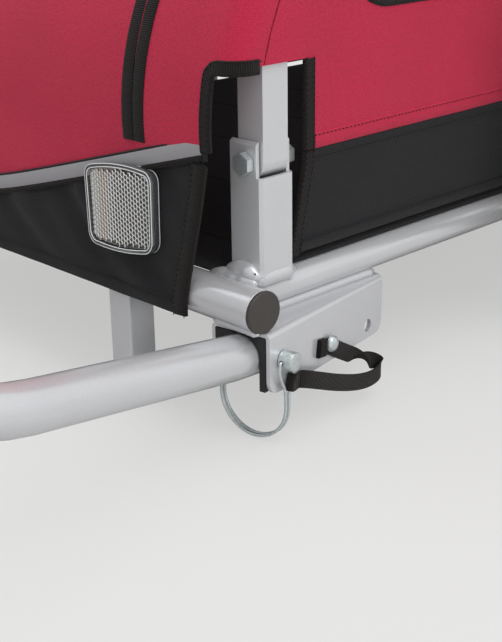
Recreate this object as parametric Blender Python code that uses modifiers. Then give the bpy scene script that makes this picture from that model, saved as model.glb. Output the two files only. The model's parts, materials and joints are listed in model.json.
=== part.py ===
"""Dog bike trailer with a folding steel frame, fabric cabin, two wheels and a tow arm.

World frame: the front faces -Y, the driver's left is +X, the ground is Z = 0. Sizes in metres.
"""
import math

import bpy
import bmesh
from mathutils import Matrix, Quaternion, Vector

# Gap that touching pieces keep, and the running clearance of a bolt in its hole
GAP = 0.0003
RUN = 0.00015

# How far a cutter runs past its piece, how far joined solids run into each other, and small chamfers
CUT = 0.05
SINK = 0.001
CHAMFER = 0.0008
TURNED_EDGE = 0.001

# Base frame
RAIL_X = 0.265
BASE_LENGTH = 0.780
BASE_HEIGHT = 0.098
CROSS_RADIUS = 0.0143
CROSS_WALL = 0.0018
CROSS_STUB = 0.0290
RAIL_RADIUS = 0.0111
CAP_RADIUS = 0.0143
CAP_LIP = 0.0028
CAP_PLUG = 0.014
RAIL_START = 0.004

# Square corner posts that the side frames fold in
POST_SIZE = 0.030
POST_WALL = 0.003
POST_EDGE = 0.0022
POST_BASE = 0.009
POST_EAR_RISE = 0.014
EAR_TRIM = 0.0045
SLOT_CUTTER = (0.020, 0.05, 0.06)
OUTER_SLOT_DROP = 0.0085
INNER_SLOT_DROP = 0.0155
PIVOT_HEIGHT = {1: 0.0885, -1: 0.1225}
PIVOT_OUT = 0.002

# Side frames
FRAME_TUBE = 0.022
FRAME_TOP = 0.430
FRAME_KNEE = 0.175
FRAME_LEAN = math.radians(21)
KNEE_RADIUS = 0.090
TOP_RADIUS = 0.060
BOLT_RADIUS = 0.004
BOLT_HEAD = 0.0130
BOLT_HEAD_THICK = 0.0053
NUT_THICK = 0.0065
BOLT_TAIL = 0.002

# Spreader bars and the saddles they snap into
SPREADER_RADIUS = 0.0095
SPREADER_END = 0.0105
SPREADER_Y = {"front": 0.205, "rear": BASE_LENGTH - 0.110}
SADDLE_WALL = 0.003
SADDLE_DEPTH = 0.0135
SPREADER_CLEAR = 0.0006

# Support legs under the front tube
LEG_SIZE = 0.023
LEG_X = 0.163
LEG_WALL = 0.0015
LEG_EDGE = 0.0022
FOOT_HEIGHT = 0.006
FOOT_PLUG = 0.012
FOOT_EDGE = 0.0015

# Drawbar bracket, in its own frame: +X outwards, +Y backwards, Z = 0 on top of the web
BRACKET_OFFSET = (0.0120, -0.0024)
BRACKET_YAW = math.radians(9.7)
BRACKET_WIDTH = 0.046
BRACKET_DEPTH = 0.043
BRACKET_LENGTH = 0.141
BRACKET_WALL = 0.003
BRACKET_BEND = 0.004
BRACKET_CORNER = 0.009
LINER_LENGTH = 0.096
LINER_DEPTH = 0.0405
DRAWBAR_RADIUS = 0.015
DRAWBAR_DROP = 0.0192
DRAWBAR_PITCH_IN = math.radians(8)
DRAWBAR_PITCH_OUT = math.radians(11.2)
DRAWBAR_TAIL = 0.080
PIN_BACK = 0.0145
PIN_DROP = 0.0213
PIVOT_BACK = 0.069
PIVOT_DROP = 0.0285
STOW_BACK = 0.1215
STOW_DROP = 0.0333
STOW_HOLE_RADIUS = 0.0047
RAIL_SEAM = CROSS_RADIUS - RAIL_RADIUS - GAP
SEAM_SIZE = (0.008, 0.085)
SEAM_CENTRE = (-0.016, 0.078)

# Drawbar's way to the hitch, from the front corner of the frame
ARM_REACH = 0.235
HITCH_X = 0.070
HITCH_AHEAD = 0.600
HITCH_RISE = 0.172
ARM_STRAIGHT = 0.085
ARM_BEND = 0.110
ARM_NOSE = 0.010
ARM_NOSE_BEND = 0.150

# Lock pin and its wire bail
PIN_RADIUS = 0.005
PIN_HEAD_RADIUS = 0.0066
PIN_HEAD_LENGTH = 0.0102
PIN_TIP = 0.0085
WIRE_RADIUS = 0.00105
WIRE_HOLE = 0.0016
BAIL_LEG_OUT = 0.0034
BAIL_CENTRE_DROP = 0.055
BAIL_LEG_SPREAD = 0.0081
BAIL_BOW_SPREAD = 0.0017
BAIL_TIP_OUT = 0.0025
BAIL_SHANK = 0.009
BAIL_NECK = 0.012

# Leash webbing
LEASH_WIDTH = 0.012
LEASH_THICK = 0.0013
LEASH_ROUTE = [  # (back, outwards from the cheek, down), by hand
    (0.0565, 0.0013, 0.0255), (0.069, 0.0013, 0.0285), (0.082, 0.0017, 0.0350), (0.097, 0.0036, 0.0440),
    (0.111, 0.0060, 0.0520), (0.1195, 0.0100, 0.0585), (0.1150, 0.0145, 0.0628), (0.101, 0.0150, 0.0636),
    (0.083, 0.0138, 0.0600), (0.062, 0.0120, 0.0527), (0.044, 0.0100, 0.0452), (0.0325, 0.0078, 0.0405),
    (0.0262, 0.0052, 0.0385)]
LEASH_BOLT_RADIUS = 0.003
LEASH_BOLT_HEAD = 0.0058
LEASH_BOLT_DOME = 0.0046
LEASH_BOLT_TAIL = 0.012
LEASH_NUT = (0.0062, 0.006)

# Hitch at the drawbar's end
FLEX_RADIUS = 0.0135
FLEX_LENGTH = 0.040
FORK_BASE = 0.010
FORK_EAR = 0.006
FORK_GAP = 0.0092
FORK_REACH = 0.032
FORK_WIDTH = 0.028
EAR_WIDTH = 0.024
TONGUE_WIDTH = 0.022
TONGUE_THICK = 0.008
PLATE_AHEAD = 0.020
HITCH_PIN_RADIUS = 0.004
HITCH_PIN_EXTRA = 0.010
HITCH_PIN_HEAD = (0.0064, 0.006)
HITCH_PIN_TIP = 0.0015
HITCH_RING = 0.010
HITCH_RING_WIRE = 0.0015
PLATE_SIZE = (0.006, 0.040, 0.050)
PLATE_EDGE = 0.0015
PLATE_HOLE = 0.0052
PLATE_HOLE_INSET = 0.01196

# Wheels
AXLE_BACK = 0.470
RIM_RADIUS = 0.1645
TYRE_RISE = 0.0385
TYRE_RADIUS = RIM_RADIUS + TYRE_RISE
TYRE_SECTION = 0.0215
RIM_WALL = 0.013
RIM_WIDTH = 0.032
RIM_LIP = 0.002
RIM_CREASE = 0.003
WHEEL_STEPS = 32
HUB_RADIUS = 0.027
HUB_LENGTH = 0.050
HUB_EDGE = 0.003
SPOKES = 6
SPOKE_WIDTH = 0.020
SPOKE_THICK = 0.014
AXLE_RADIUS = 0.006
AXLE_HEAD_RADIUS = 0.012
AXLE_HEAD = 0.0065
AXLE_SEAT = 0.0045
BUTTON_RADIUS = 0.0045
BUTTON_STAND = 0.0035
BUTTON_TRAVEL = 0.003
BUTTON_BORE = 0.0062
BRACKET_PLATE = 0.004
BRACKET_FLANGE = 0.012
BRACKET_BREADTH = 0.056
BRACKET_RISE = 0.030
BRACKET_FOOT = (0.048, 0.020)
RECEIVER_RADIUS = 0.0115
RECEIVER_LENGTH = 0.024

# Cabin fabric
FABRIC = 0.0024
PANEL_OUT = 0.0136
PANEL_LEAN = math.radians(3.5)
PANEL_FOOT = -0.0132
PANEL_FRONT = -0.0148
CUTOUT_BACK = 0.0575
CUTOUT_TOP = 0.150
CUTOUT_EDGE = 0.2585
CUTOUT_HALF = 0.229
LOWER_EDGE = [(0.012, 0.0), (0.018, 0.030), (0.024, 0.060), (0.0285, 0.0895)]
SEAM = 0.0915
RIGHT_SEAM_RISE = 0.004
SKIRT_FOOT = 0.0195
PIPE_LOW, PIPE_SLOPE, PIPE_BLEND = 0.0283, 0.286, 0.025
SHOULDER = 0.016
SIDE_WRAP = 0.008
SHOULDER_STEPS = 5
PANEL_AHEAD = 0.015
ROOF_TOP = 0.0353
ROOF_RADIUS = 0.010
ROOF_OUT = 0.0170
ROOF_HEM = 0.0015
CROWN_GAP = 0.004
HEM_DROP = 0.0045
HATCH_SIZE = (0.300, 0.250)
HATCH_CORNER = 0.050
HATCH_Y = 0.440
REAR_Y = BASE_LENGTH + 0.0175
FLOOR_THICK = 0.0026
WINDOW_INSET = 0.055
WINDOW_REAR = 0.075
WINDOW_FOOT = 0.030
WINDOW_HEAD = 0.045
WINDOW_THICK = 0.0010
WINDOW_CORNER = 0.040
WINDOW_GAP = 0.0004
FRONT_WINDOW = (0.350, 0.200)
FRONT_WINDOW_RISE = 0.010

# Reflector on the front panel
REFLECTOR_SIZE = (0.070, 0.059)
REFLECTOR_DEPTH = 0.0075
REFLECTOR_X = 0.1815
REFLECTOR_Z = 0.0500
REFLECTOR_ROLL = math.radians(9)
REFLECTOR_CORNER = 0.014
REFLECTOR_TAPER = 0.96
REFLECTOR_EDGE = 0.0012

HITCH_PIN_AHEAD = HITCH_AHEAD + FLEX_LENGTH + 2 * GAP + FORK_BASE + FORK_REACH - FORK_WIDTH / 2
FRONT_EXTENT = HITCH_PIN_AHEAD + PLATE_AHEAD + PLATE_SIZE[1]
FRONT_Y = (FRONT_EXTENT - REAR_Y - FABRIC / 2) / 2
ROOT = Vector((0, FRONT_Y, BASE_HEIGHT))

COLOURS = {
    "silver_paint": ("C6C8CB", 0.32, 0.55), "zinc": ("C9CECE", 0.28, 0.9),
    "dark_plastic": ("45443F", 0.55, 0.0), "black_plastic": ("1E1E20", 0.5, 0.0),
    "black_fabric": ("222225", 0.85, 0.0), "red_fabric": ("C9384F", 0.8, 0.0),
    "mesh_fabric": ("2A2A2C", 0.9, 0.0), "webbing": ("2E2A27", 0.85, 0.0),
    "clear_plastic": ("DADEE0", 0.12, 0.0), "tyre_rubber": ("1B1B1C", 0.8, 0.0),
    "black_rubber": ("202021", 0.75, 0.0),
}


def clear_scene():
    """Removes the start-up objects."""
    for obj in list(bpy.data.objects):
        bpy.data.objects.remove(obj, do_unlink=True)


clear_scene()
PARTS = bpy.data.collections.new("dog_bike_trailer")
CUTTERS = bpy.data.collections.new("cutters")
for group in (PARTS, CUTTERS):
    bpy.context.scene.collection.children.link(group)
CUTTERS.hide_render = True


def channel(value):
    """One 0-255 sRGB channel as a linear value."""
    value /= 255
    return value / 12.92 if value <= 0.04045 else ((value + 0.055) / 1.055) ** 2.4


def material(key):
    """The named finish as a Principled BSDF, made once."""
    found = bpy.data.materials.get(key)
    if found:
        return found
    code, rough, metal = COLOURS[key]
    mat = bpy.data.materials.new(key)
    mat.use_nodes = True
    shader = mat.node_tree.nodes["Principled BSDF"]
    rgb = [channel(int(code[i:i + 2], 16)) for i in (0, 2, 4)]
    shader.inputs["Base Color"].default_value = (*rgb, 1)
    shader.inputs["Roughness"].default_value = rough
    shader.inputs["Metallic"].default_value = metal
    mat.diffuse_color = (*rgb, 1)
    return mat


def place(obj, key, parent=None):
    """Links an object as a part, or as a cutter when it has no finish."""
    if key:
        PARTS.objects.link(obj)
        obj.data.materials.append(material(key))
    else:
        CUTTERS.objects.link(obj)
        obj.hide_render = True
        obj.display_type = "WIRE"
    if parent:
        obj.parent = parent
    return obj


def empty(name, matrix, parent=None):
    """An empty that carries pieces, such as a joint axis."""
    obj = bpy.data.objects.new(name, None)
    obj.empty_display_size = 0.03
    PARTS.objects.link(obj)
    obj.matrix_world = matrix
    if parent:
        obj.parent = parent
        obj.matrix_parent_inverse = parent.matrix_world.inverted()
    return obj


def from_bmesh(name, bm, key, parent=None, smooth=False):
    """A mesh object from a bmesh, which is freed."""
    mesh = bpy.data.meshes.new(name)
    bm.normal_update()
    bm.to_mesh(mesh)
    bm.free()
    if smooth:
        mesh.shade_smooth()
    return place(bpy.data.objects.new(name, mesh), key, parent)


def box(name, size, centre, key=None, parent=None, edge=0.0, matrix=None):
    """A box, its edges rounded by a bevel where edge is given."""
    bm = bmesh.new()
    bmesh.ops.create_cube(bm, size=1)
    bmesh.ops.scale(bm, vec=size, verts=bm.verts)
    bmesh.ops.translate(bm, vec=centre, verts=bm.verts)
    if matrix:
        bmesh.ops.transform(bm, matrix=matrix, verts=bm.verts)
    obj = from_bmesh(name, bm, key, parent)
    if edge:
        bevel(obj, edge)
    return obj


def bevel(obj, width, segments=1):
    """Rounds an object's sharp edges."""
    mod = obj.modifiers.new("edge", "BEVEL")
    mod.width = width
    mod.segments = segments
    mod.limit_method = "ANGLE"
    mod.angle_limit = math.radians(50)
    return obj


def cylinder(name, radius, start, end, key=None, parent=None, sides=24):
    """A cylinder or hexagon bar between two points."""
    start, end = Vector(start), Vector(end)
    run = end - start
    bm = bmesh.new()
    bmesh.ops.create_cone(bm, cap_ends=True, segments=sides, radius1=radius, radius2=radius, depth=run.length)
    turn = run.to_track_quat("Z", "Y").to_matrix().to_4x4()
    bmesh.ops.transform(bm, matrix=Matrix.Translation((start + end) / 2) @ turn, verts=bm.verts)
    return from_bmesh(name, bm, key, parent)


def boolean(obj, tool, operation="DIFFERENCE"):
    """Cuts or joins an object with a cutter."""
    mod = obj.modifiers.new(tool.name, "BOOLEAN")
    mod.operation = operation
    mod.solver = "EXACT"
    mod.object = tool
    return obj


def turned(name, profile, key, matrix, parent=None, steps=32, closed=False):
    """A turned piece: a profile of (radius, height) points, swept by a Screw modifier."""
    mesh = bpy.data.meshes.new(name)
    count = len(profile)
    edges = [(i, i + 1) for i in range(count - 1)] + ([(count - 1, 0)] if closed else [])
    mesh.from_pydata([(r, 0, z) for r, z in profile], edges, [])
    obj = bpy.data.objects.new(name, mesh)
    obj.matrix_world = matrix
    screw = obj.modifiers.new("turn", "SCREW")
    screw.steps = screw.render_steps = steps
    screw.use_merge_vertices = True
    screw.merge_threshold = 0.00001
    screw.use_smooth_shade = True
    return place(obj, key, parent)


def arc(centre, radius, start, end, steps):
    """Points on an arc in a plane, angles in degrees."""
    angles = [math.radians(start + (end - start) * i / steps) for i in range(steps + 1)]
    return [(centre[0] + radius * math.cos(a), centre[1] + radius * math.sin(a)) for a in angles]


def rounded(points, radii, closed=True, steps=6):
    """A path with its corners rounded by arcs; works in a plane and in space."""
    points = [Vector(p) for p in points]
    if not isinstance(radii, (list, tuple)):
        radii = [radii] * len(points)
    result = []
    for i, corner in enumerate(points):
        if radii[i] == 0 or (not closed and i in (0, len(points) - 1)):
            result.append(corner)
            continue
        before = (points[i - 1] - corner).normalized()
        after = (points[(i + 1) % len(points)] - corner).normalized()
        half = before.angle(after) / 2
        reach = radii[i] / math.tan(half)
        centre = corner + (before + after).normalized() * radii[i] / math.sin(half)
        first, last = corner + before * reach - centre, corner + after * reach - centre
        result += [centre + turn_between(first, last, k / steps) for k in range(steps + 1)]
    return result


def turn_between(first, last, share):
    """A vector turned by a share of the angle between two others."""
    if len(first) == 3:
        return Quaternion().slerp(first.rotation_difference(last), share) @ first
    angle = math.atan2(first.x * last.y - first.y * last.x, first.dot(last)) * share
    return Matrix.Rotation(angle, 2) @ first


def plate(name, outline, thickness, matrix, key=None, parent=None, holes=()):
    """A flat outline with holes, extruded both ways from its plane."""
    curve = bpy.data.curves.new(name, "CURVE")
    curve.dimensions = "2D"
    curve.fill_mode = "BOTH"
    curve.extrude = thickness / 2
    for loop in (outline, *holes):
        spline = curve.splines.new("POLY")
        spline.points.add(len(loop) - 1)
        for point, place_at in zip(spline.points, loop):
            point.co = (place_at[0], place_at[1], 0, 1)
        spline.use_cyclic_u = True
    return solid_mesh(name, curve, matrix, key, parent)


def tube(name, points, radius, key=None, parent=None, resolution=4, cyclic=False, smooth=True):
    """A round tube or wire along a path."""
    curve = bpy.data.curves.new(name, "CURVE")
    curve.dimensions = "3D"
    curve.bevel_depth = radius
    curve.bevel_resolution = resolution
    curve.use_fill_caps = True
    spline = curve.splines.new("POLY")
    spline.points.add(len(points) - 1)
    for point, place_at in zip(spline.points, points):
        point.co = (*place_at, 1)
    spline.use_cyclic_u = cyclic
    return solid_mesh(name, curve, Matrix.Identity(4), key, parent, smooth)


def solid_mesh(name, curve, matrix, key, parent, smooth=False):
    """A curve's solid as a welded mesh that Booleans can use."""
    source = bpy.data.objects.new(name + "_curve", curve)
    bpy.context.scene.collection.objects.link(source)
    bpy.context.view_layer.update()
    mesh = bpy.data.meshes.new_from_object(source.evaluated_get(bpy.context.evaluated_depsgraph_get()))
    bpy.data.objects.remove(source)
    bm = bmesh.new()
    bm.from_mesh(mesh)
    bpy.data.meshes.remove(mesh)
    bmesh.ops.remove_doubles(bm, verts=bm.verts, dist=0.000001)
    bmesh.ops.recalc_face_normals(bm, faces=bm.faces)
    bmesh.ops.transform(bm, matrix=matrix, verts=bm.verts)
    return from_bmesh(name, bm, key, parent, smooth)


def loft(name, rows, key=None, parent=None, thickness=0.0):
    """A skin over rows of points; with a thickness it becomes a closed shell."""
    bm = bmesh.new()
    grid = [[bm.verts.new(p) for p in row] for row in rows]
    for low, high in zip(grid, grid[1:]):
        for i in range(len(low) - 1):
            bm.faces.new((low[i], low[i + 1], high[i + 1], high[i]))
    obj = from_bmesh(name, bm, key, parent)
    if thickness:
        shell = obj.modifiers.new("thickness", "SOLIDIFY")
        shell.thickness = thickness
        shell.offset = 0
        shell.use_even_offset = True
    return obj


def at(x, y, z):
    """A point given from the middle of the front tube's axis."""
    return ROOT + Vector((x, y, z))


def side_plane(x):
    """Matrix of a drawing plane across X: drawn x runs back (+Y), drawn y runs up."""
    return Matrix.Translation(at(x, 0, 0)) @ Matrix(((0, 0, 1, 0), (1, 0, 0, 0), (0, 1, 0, 0), (0, 0, 0, 1)))


def side_name(side):
    """left is the driver's left, +X."""
    return "left" if side > 0 else "right"


def sides():
    """Both sides of the trailer."""
    return (1, -1)


def ends():
    """Each end's name, place along the base and direction towards the cabin."""
    return (("front", 0.0, 1), ("rear", BASE_LENGTH, -1))


def base_frame():
    """Cross tubes with their end caps, and the coped side rails."""
    half = RAIL_X + CROSS_STUB
    for end, y, _ in ends():
        cross = cylinder(end + "_cross_tube", CROSS_RADIUS, at(-half, y, 0), at(half, y, 0), "silver_paint")
        bore = CROSS_RADIUS - CROSS_WALL
        boolean(cross, cylinder(end + "_cross_bore", bore, at(-half - CUT, y, 0), at(half + CUT, y, 0)))
        for side in sides():
            face = side * (half + GAP)
            name = f"end_cap_{end}_{side_name(side)}"
            profile = [(0, CAP_LIP), (CAP_RADIUS - CHAMFER, CAP_LIP), (CAP_RADIUS, CAP_LIP - CHAMFER),
                       (CAP_RADIUS, 0), (bore - GAP, 0), (bore - GAP, -CAP_PLUG), (0, -CAP_PLUG)]
            turn = Matrix.Translation(at(face, y, 0)) @ Matrix.Rotation(side * math.pi / 2, 4, "Y")
            turned(name, profile, "dark_plastic", turn, steps=24)
    for side in sides():
        x = side * RAIL_X
        rail = cylinder("side_rail_" + side_name(side), RAIL_RADIUS, at(x, RAIL_START, 0),
                        at(x, BASE_LENGTH - RAIL_START, 0), "silver_paint")
        for end, y, _ in ends():
            boolean(rail, cylinder(f"rail_cope_{end}_{side_name(side)}", CROSS_RADIUS + GAP,
                                   at(x - CUT, y, 0), at(x + CUT, y, 0), sides=32))


def post_y(end):
    """Middle of a corner post along the base, just behind its cross tube."""
    back = CROSS_RADIUS + 2 * GAP + POST_SIZE / 2
    return back if end == "front" else BASE_LENGTH - back


def corner_posts():
    """Square stubs coped over the rails, slotted at the top for the side frames."""
    for side in sides():
        x, pivot = side * RAIL_X, PIVOT_HEIGHT[side]
        top = pivot + POST_EAR_RISE
        inner = POST_SIZE - 2 * POST_WALL
        for end, _, _ in ends():
            y = post_y(end)
            tag = f"{end}_{side_name(side)}"
            post = box("corner_post_" + tag, (POST_SIZE, POST_SIZE, top - POST_BASE),
                       at(x, y, (top + POST_BASE) / 2), "silver_paint", edge=POST_EDGE)
            boolean(post, box("post_bore_" + tag, (inner, inner, top), at(x, y, top / 2 + SINK)))
            wide, deep, high = SLOT_CUTTER
            outer_z = pivot - OUTER_SLOT_DROP + high / 2
            outer_x = x + side * (POST_SIZE / 2 - EAR_TRIM + wide / 2)
            boolean(post, box("post_slot_" + tag, SLOT_CUTTER, at(outer_x, y, outer_z)))
            inner_z = pivot - INNER_SLOT_DROP + high / 2
            inner_x = x - side * (POST_SIZE / 2)
            boolean(post, box("post_mouth_" + tag, (wide, inner, high), at(inner_x, y, inner_z)))
            boolean(post, cylinder("post_saddle_" + tag, RAIL_RADIUS + GAP,
                                   at(x, y - deep, 0), at(x, y + deep, 0)))
            axis = x + side * PIVOT_OUT
            boolean(post, cylinder("post_hole_" + tag, BOLT_RADIUS + RUN, at(axis, y - CUT, pivot),
                                   at(axis, y + CUT, pivot), sides=20))
            pivot_bolt(tag, axis, y, pivot, -1 if end == "front" else 1)


def pivot_bolt(tag, x, y, z, facing):
    """A hexagon bolt through a post's ears, with its nut; its head faces outwards along Y."""
    face = POST_SIZE / 2 + GAP
    tail = face + NUT_THICK + BOLT_TAIL
    bolt = cylinder("pivot_bolt_" + tag, BOLT_RADIUS, at(x, y + facing * (face + SINK), z),
                    at(x, y - facing * tail, z), "zinc", sides=20)
    across = BOLT_HEAD / math.sqrt(3)
    head = cylinder("bolt_head_" + tag, across, at(x, y + facing * face, z),
                    at(x, y + facing * (face + BOLT_HEAD_THICK), z), sides=6)
    nut = cylinder("bolt_nut_" + tag, across, at(x, y - facing * face, z),
                   at(x, y - facing * (face + NUT_THICK), z), sides=6)
    for piece in (head, nut):
        boolean(bolt, piece, "UNION")


def frame_path():
    """Middle line of a side frame in its plane, as (back, up) from the front tube."""
    knee_y, rear_y = post_y("front"), post_y("rear")
    top_y = knee_y + (FRAME_TOP - FRAME_KNEE) * math.tan(FRAME_LEAN)
    return [(knee_y, FRAME_KNEE), (top_y, FRAME_TOP), (rear_y, FRAME_TOP)]


def offset_corner(corner, before, after, distance):
    """A path corner moved inwards or outwards by a distance."""
    a, b = (corner - before).normalized(), (after - corner).normalized()
    normal = Vector((-a.y, a.x)) + Vector((-b.y, b.x))
    return corner + normal * distance / (1 + a.dot(b))


def side_frames():
    """Each side's bent square tube: two uprights and the top rail, with saddles on top."""
    knee, front_top, rear_top = [Vector(p) for p in frame_path()]
    for side in sides():
        name = side_name(side)
        pivot = PIVOT_HEIGHT[side]
        x = side * (RAIL_X + PIVOT_OUT)
        hinge = empty(f"side_fold_{name}", Matrix.Translation(at(x, 0, pivot)))
        path = [Vector((knee.x, pivot)), knee, front_top, rear_top, Vector((rear_top.x, pivot))]
        half = FRAME_TUBE / 2
        outer, inner = [], []
        for i, corner in enumerate(path):
            if i in (0, 4):
                out = -half if i == 0 else half
                outer.append(corner + Vector((out, 0)))
                inner.append(corner - Vector((out, 0)))
            else:
                outer.append(offset_corner(corner, path[i - 1], path[i + 1], half))
                inner.append(offset_corner(corner, path[i - 1], path[i + 1], -half))
        bends = (0, KNEE_RADIUS, TOP_RADIUS, TOP_RADIUS, 0)
        outward = [r and r + (-half if i == 1 else half) for i, r in enumerate(bends)]
        inward = [r and r + (half if i == 1 else -half) for i, r in enumerate(bends)]
        outline = rounded(outer, outward, closed=False) + rounded(inner, inward, closed=False)[::-1]
        frame = plate("side_frame_" + name, outline, FRAME_TUBE, side_plane(x), "silver_paint")
        frame.parent = hinge
        frame.matrix_parent_inverse = hinge.matrix_world.inverted()
        for end, _, _ in ends():
            y = post_y(end)
            tag = f"{end}_{name}"
            knuckle = cylinder("knuckle_" + tag, half - 0.0001, at(x, y - half + 0.00005, pivot),
                               at(x, y + half - 0.00005, pivot), sides=20)
            boolean(frame, knuckle, "UNION")
            boolean(frame, cylinder("frame_hole_" + tag, BOLT_RADIUS + RUN, at(x, y - CUT, pivot),
                                    at(x, y + CUT, pivot), sides=20))
        for end, y in SPREADER_Y.items():
            boolean(frame, saddle(f"saddle_{end}_{name}", x, y), "UNION")


def spreader_z():
    """Height of the spreader bars' axis above the base axis."""
    return FRAME_TOP + FRAME_TUBE / 2 + SADDLE_WALL + SPREADER_CLEAR + SPREADER_RADIUS


def saddle(name, x, y):
    """A trough across the top rail that a spreader bar drops into."""
    inner = SPREADER_RADIUS + SPREADER_CLEAR
    outer = inner + SADDLE_WALL
    low = FRAME_TOP + FRAME_TUBE / 2 - SINK
    rim = FRAME_TOP + FRAME_TUBE / 2 + SADDLE_DEPTH
    axis = spreader_z()
    outline = [(y - outer, low), (y + outer, low), (y + outer, rim), (y + inner, rim)]
    outline += arc((y, axis), inner, 0, -180, 10) + [(y - inner, rim), (y - outer, rim)]
    return plate(name, outline, FRAME_TUBE - 0.004, side_plane(x))


def spreader_bars():
    """Cross bars that lie in the saddles and hold the side frames apart."""
    half = RAIL_X + PIVOT_OUT + SPREADER_END
    nose = SPREADER_RADIUS * 0.35
    for end, y in SPREADER_Y.items():
        profile = [(0, half), (SPREADER_RADIUS - nose, half), (SPREADER_RADIUS, half - nose),
                   (SPREADER_RADIUS, nose - half), (SPREADER_RADIUS - nose, -half), (0, -half)]
        turn = Matrix.Translation(at(0, y, spreader_z())) @ Matrix.Rotation(math.pi / 2, 4, "Y")
        turned("spreader_bar_" + end, profile, "silver_paint", turn, steps=20)


def square(size, edge):
    """A square outline round the origin, with rounded corners."""
    half = size / 2
    return rounded([(-half, -half), (half, -half), (half, half), (-half, half)], edge, steps=3)


def support_legs():
    """Square legs under the front tube, with plastic feet plugged in."""
    bore = LEG_SIZE - 2 * LEG_WALL
    foot_top = FOOT_HEIGHT - BASE_HEIGHT
    for side in sides():
        x, name = side * LEG_X, side_name(side)
        low = foot_top + GAP
        hollow = square(bore, LEG_EDGE - LEG_WALL)[::-1]
        leg = plate("front_leg_" + name, square(LEG_SIZE, LEG_EDGE), -low,
                    Matrix.Translation(at(x, 0, low / 2)), "silver_paint", holes=[hollow])
        boolean(leg, cylinder("leg_cope_" + name, CROSS_RADIUS + GAP, at(x - CUT, 0, 0), at(x + CUT, 0, 0)))
        foot = box("leg_foot_" + name, (LEG_SIZE, LEG_SIZE, FOOT_HEIGHT),
                   at(x, 0, foot_top - FOOT_HEIGHT / 2), "black_plastic", edge=FOOT_EDGE)
        plug = bore - 2 * GAP
        height = FOOT_PLUG + FOOT_HEIGHT / 2
        middle = foot_top - FOOT_HEIGHT / 2 + height / 2
        boolean(foot, box("foot_plug_" + name, (plug, plug, height), at(x, 0, middle)), "UNION")


def bracket_matrix():
    """The drawbar bracket's own frame, under the left corner."""
    corner = at(RAIL_X + BRACKET_OFFSET[0], BRACKET_OFFSET[1], -CROSS_RADIUS - GAP)
    return Matrix.Translation(corner) @ Matrix.Rotation(BRACKET_YAW, 4, "Z")


def across(frame, back, drop, start, end):
    """Two points of a line across the bracket, from start to end outwards."""
    return frame @ Vector((start, back, -drop)), frame @ Vector((end, back, -drop))


def drop_at(back):
    """Depth of the drawbar's axis under the web, inside the bracket."""
    return DRAWBAR_DROP + back * math.tan(DRAWBAR_PITCH_IN)


def drawbar_bracket(frame):
    """Steel channel under the corner, open downwards, with its pin, pivot and stowing holes."""
    half, wall = BRACKET_WIDTH / 2, BRACKET_WALL
    outline = rounded([(-half, -BRACKET_DEPTH), (-half, 0), (half, 0), (half, -BRACKET_DEPTH)],
                      [0, BRACKET_BEND, BRACKET_BEND, 0], closed=False, steps=4)
    inside = rounded([(half - wall, -BRACKET_DEPTH), (half - wall, -wall), (wall - half, -wall),
                      (wall - half, -BRACKET_DEPTH)], [0, BRACKET_BEND - wall, BRACKET_BEND - wall, 0],
                     closed=False, steps=4)
    upright = frame @ Matrix.Translation((0, BRACKET_LENGTH / 2, 0)) @ Matrix.Rotation(math.pi / 2, 4, "X")
    bracket = plate("drawbar_bracket", outline + inside, BRACKET_LENGTH, upright, "silver_paint")
    seam = box("bracket_seam", (*SEAM_SIZE, RAIL_SEAM + SINK), (*SEAM_CENTRE, (RAIL_SEAM - SINK) / 2),
               matrix=frame)
    boolean(bracket, seam, "UNION")
    for tag, back, drop, radius in (("pin", PIN_BACK, PIN_DROP, PIN_RADIUS + RUN),
                                    ("pivot", PIVOT_BACK, PIVOT_DROP, LEASH_BOLT_RADIUS + RUN),
                                    ("stow", STOW_BACK, STOW_DROP, STOW_HOLE_RADIUS)):
        ends_of_hole = across(frame, back, drop, -CUT, CUT)
        boolean(bracket, cylinder("bracket_hole_" + tag, radius, *ends_of_hole, sides=20))
    for back, sign in ((0.0, 1), (BRACKET_LENGTH, -1)):
        corner = corner_cutter(f"bracket_corner_{back:.3f}", back, sign, BRACKET_CORNER)
        corner.matrix_world = frame
        boolean(bracket, corner)


def corner_cutter(name, back, sign, radius):
    """A prism that rounds the bracket's lower corners at one end."""
    centre = (back + sign * radius, -BRACKET_DEPTH + radius)
    start = 180 if sign > 0 else 360
    outside, under = back - sign * CUT / 5, -BRACKET_DEPTH - CUT / 5
    outline = [(outside, under), (outside, -BRACKET_DEPTH + radius)]
    outline += arc(centre, radius, start, 270, 5) + [(back + sign * radius, under)]
    turn = Matrix(((0, 0, 1, 0), (1, 0, 0, 0), (0, 1, 0, 0), (0, 0, 0, 1)))
    return plate(name, outline, 2 * CUT, turn)


def bracket_liner(frame):
    """Plastic filler inside the channel, hollowed for the drawbar and open downwards."""
    width = BRACKET_WIDTH - 2 * BRACKET_WALL - 2 * GAP
    top = -BRACKET_WALL - GAP
    liner = box("bracket_liner", (width, LINER_LENGTH, LINER_DEPTH + top),
                (0, LINER_LENGTH / 2 - SINK, (top - LINER_DEPTH) / 2), "black_plastic", matrix=frame)
    bore = DRAWBAR_RADIUS + GAP
    slope = Matrix.Translation((0, 0, -drop_at(0))) @ Matrix.Rotation(-DRAWBAR_PITCH_IN, 4, "X")
    outline = arc((0, 0), bore, 0, 180, 16) + [(-bore, -CUT), (bore, -CUT)]
    upright = frame @ slope @ Matrix.Rotation(math.pi / 2, 4, "X")
    boolean(liner, plate("liner_bore", outline, 4 * LINER_LENGTH, upright))
    for tag, back, drop, radius in (("pin", PIN_BACK, PIN_DROP, PIN_RADIUS + RUN),
                                    ("pivot", PIVOT_BACK, PIVOT_DROP, LEASH_BOLT_RADIUS + RUN)):
        boolean(liner, cylinder("liner_hole_" + tag, radius, *across(frame, back, drop, -CUT, CUT), sides=20))


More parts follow.
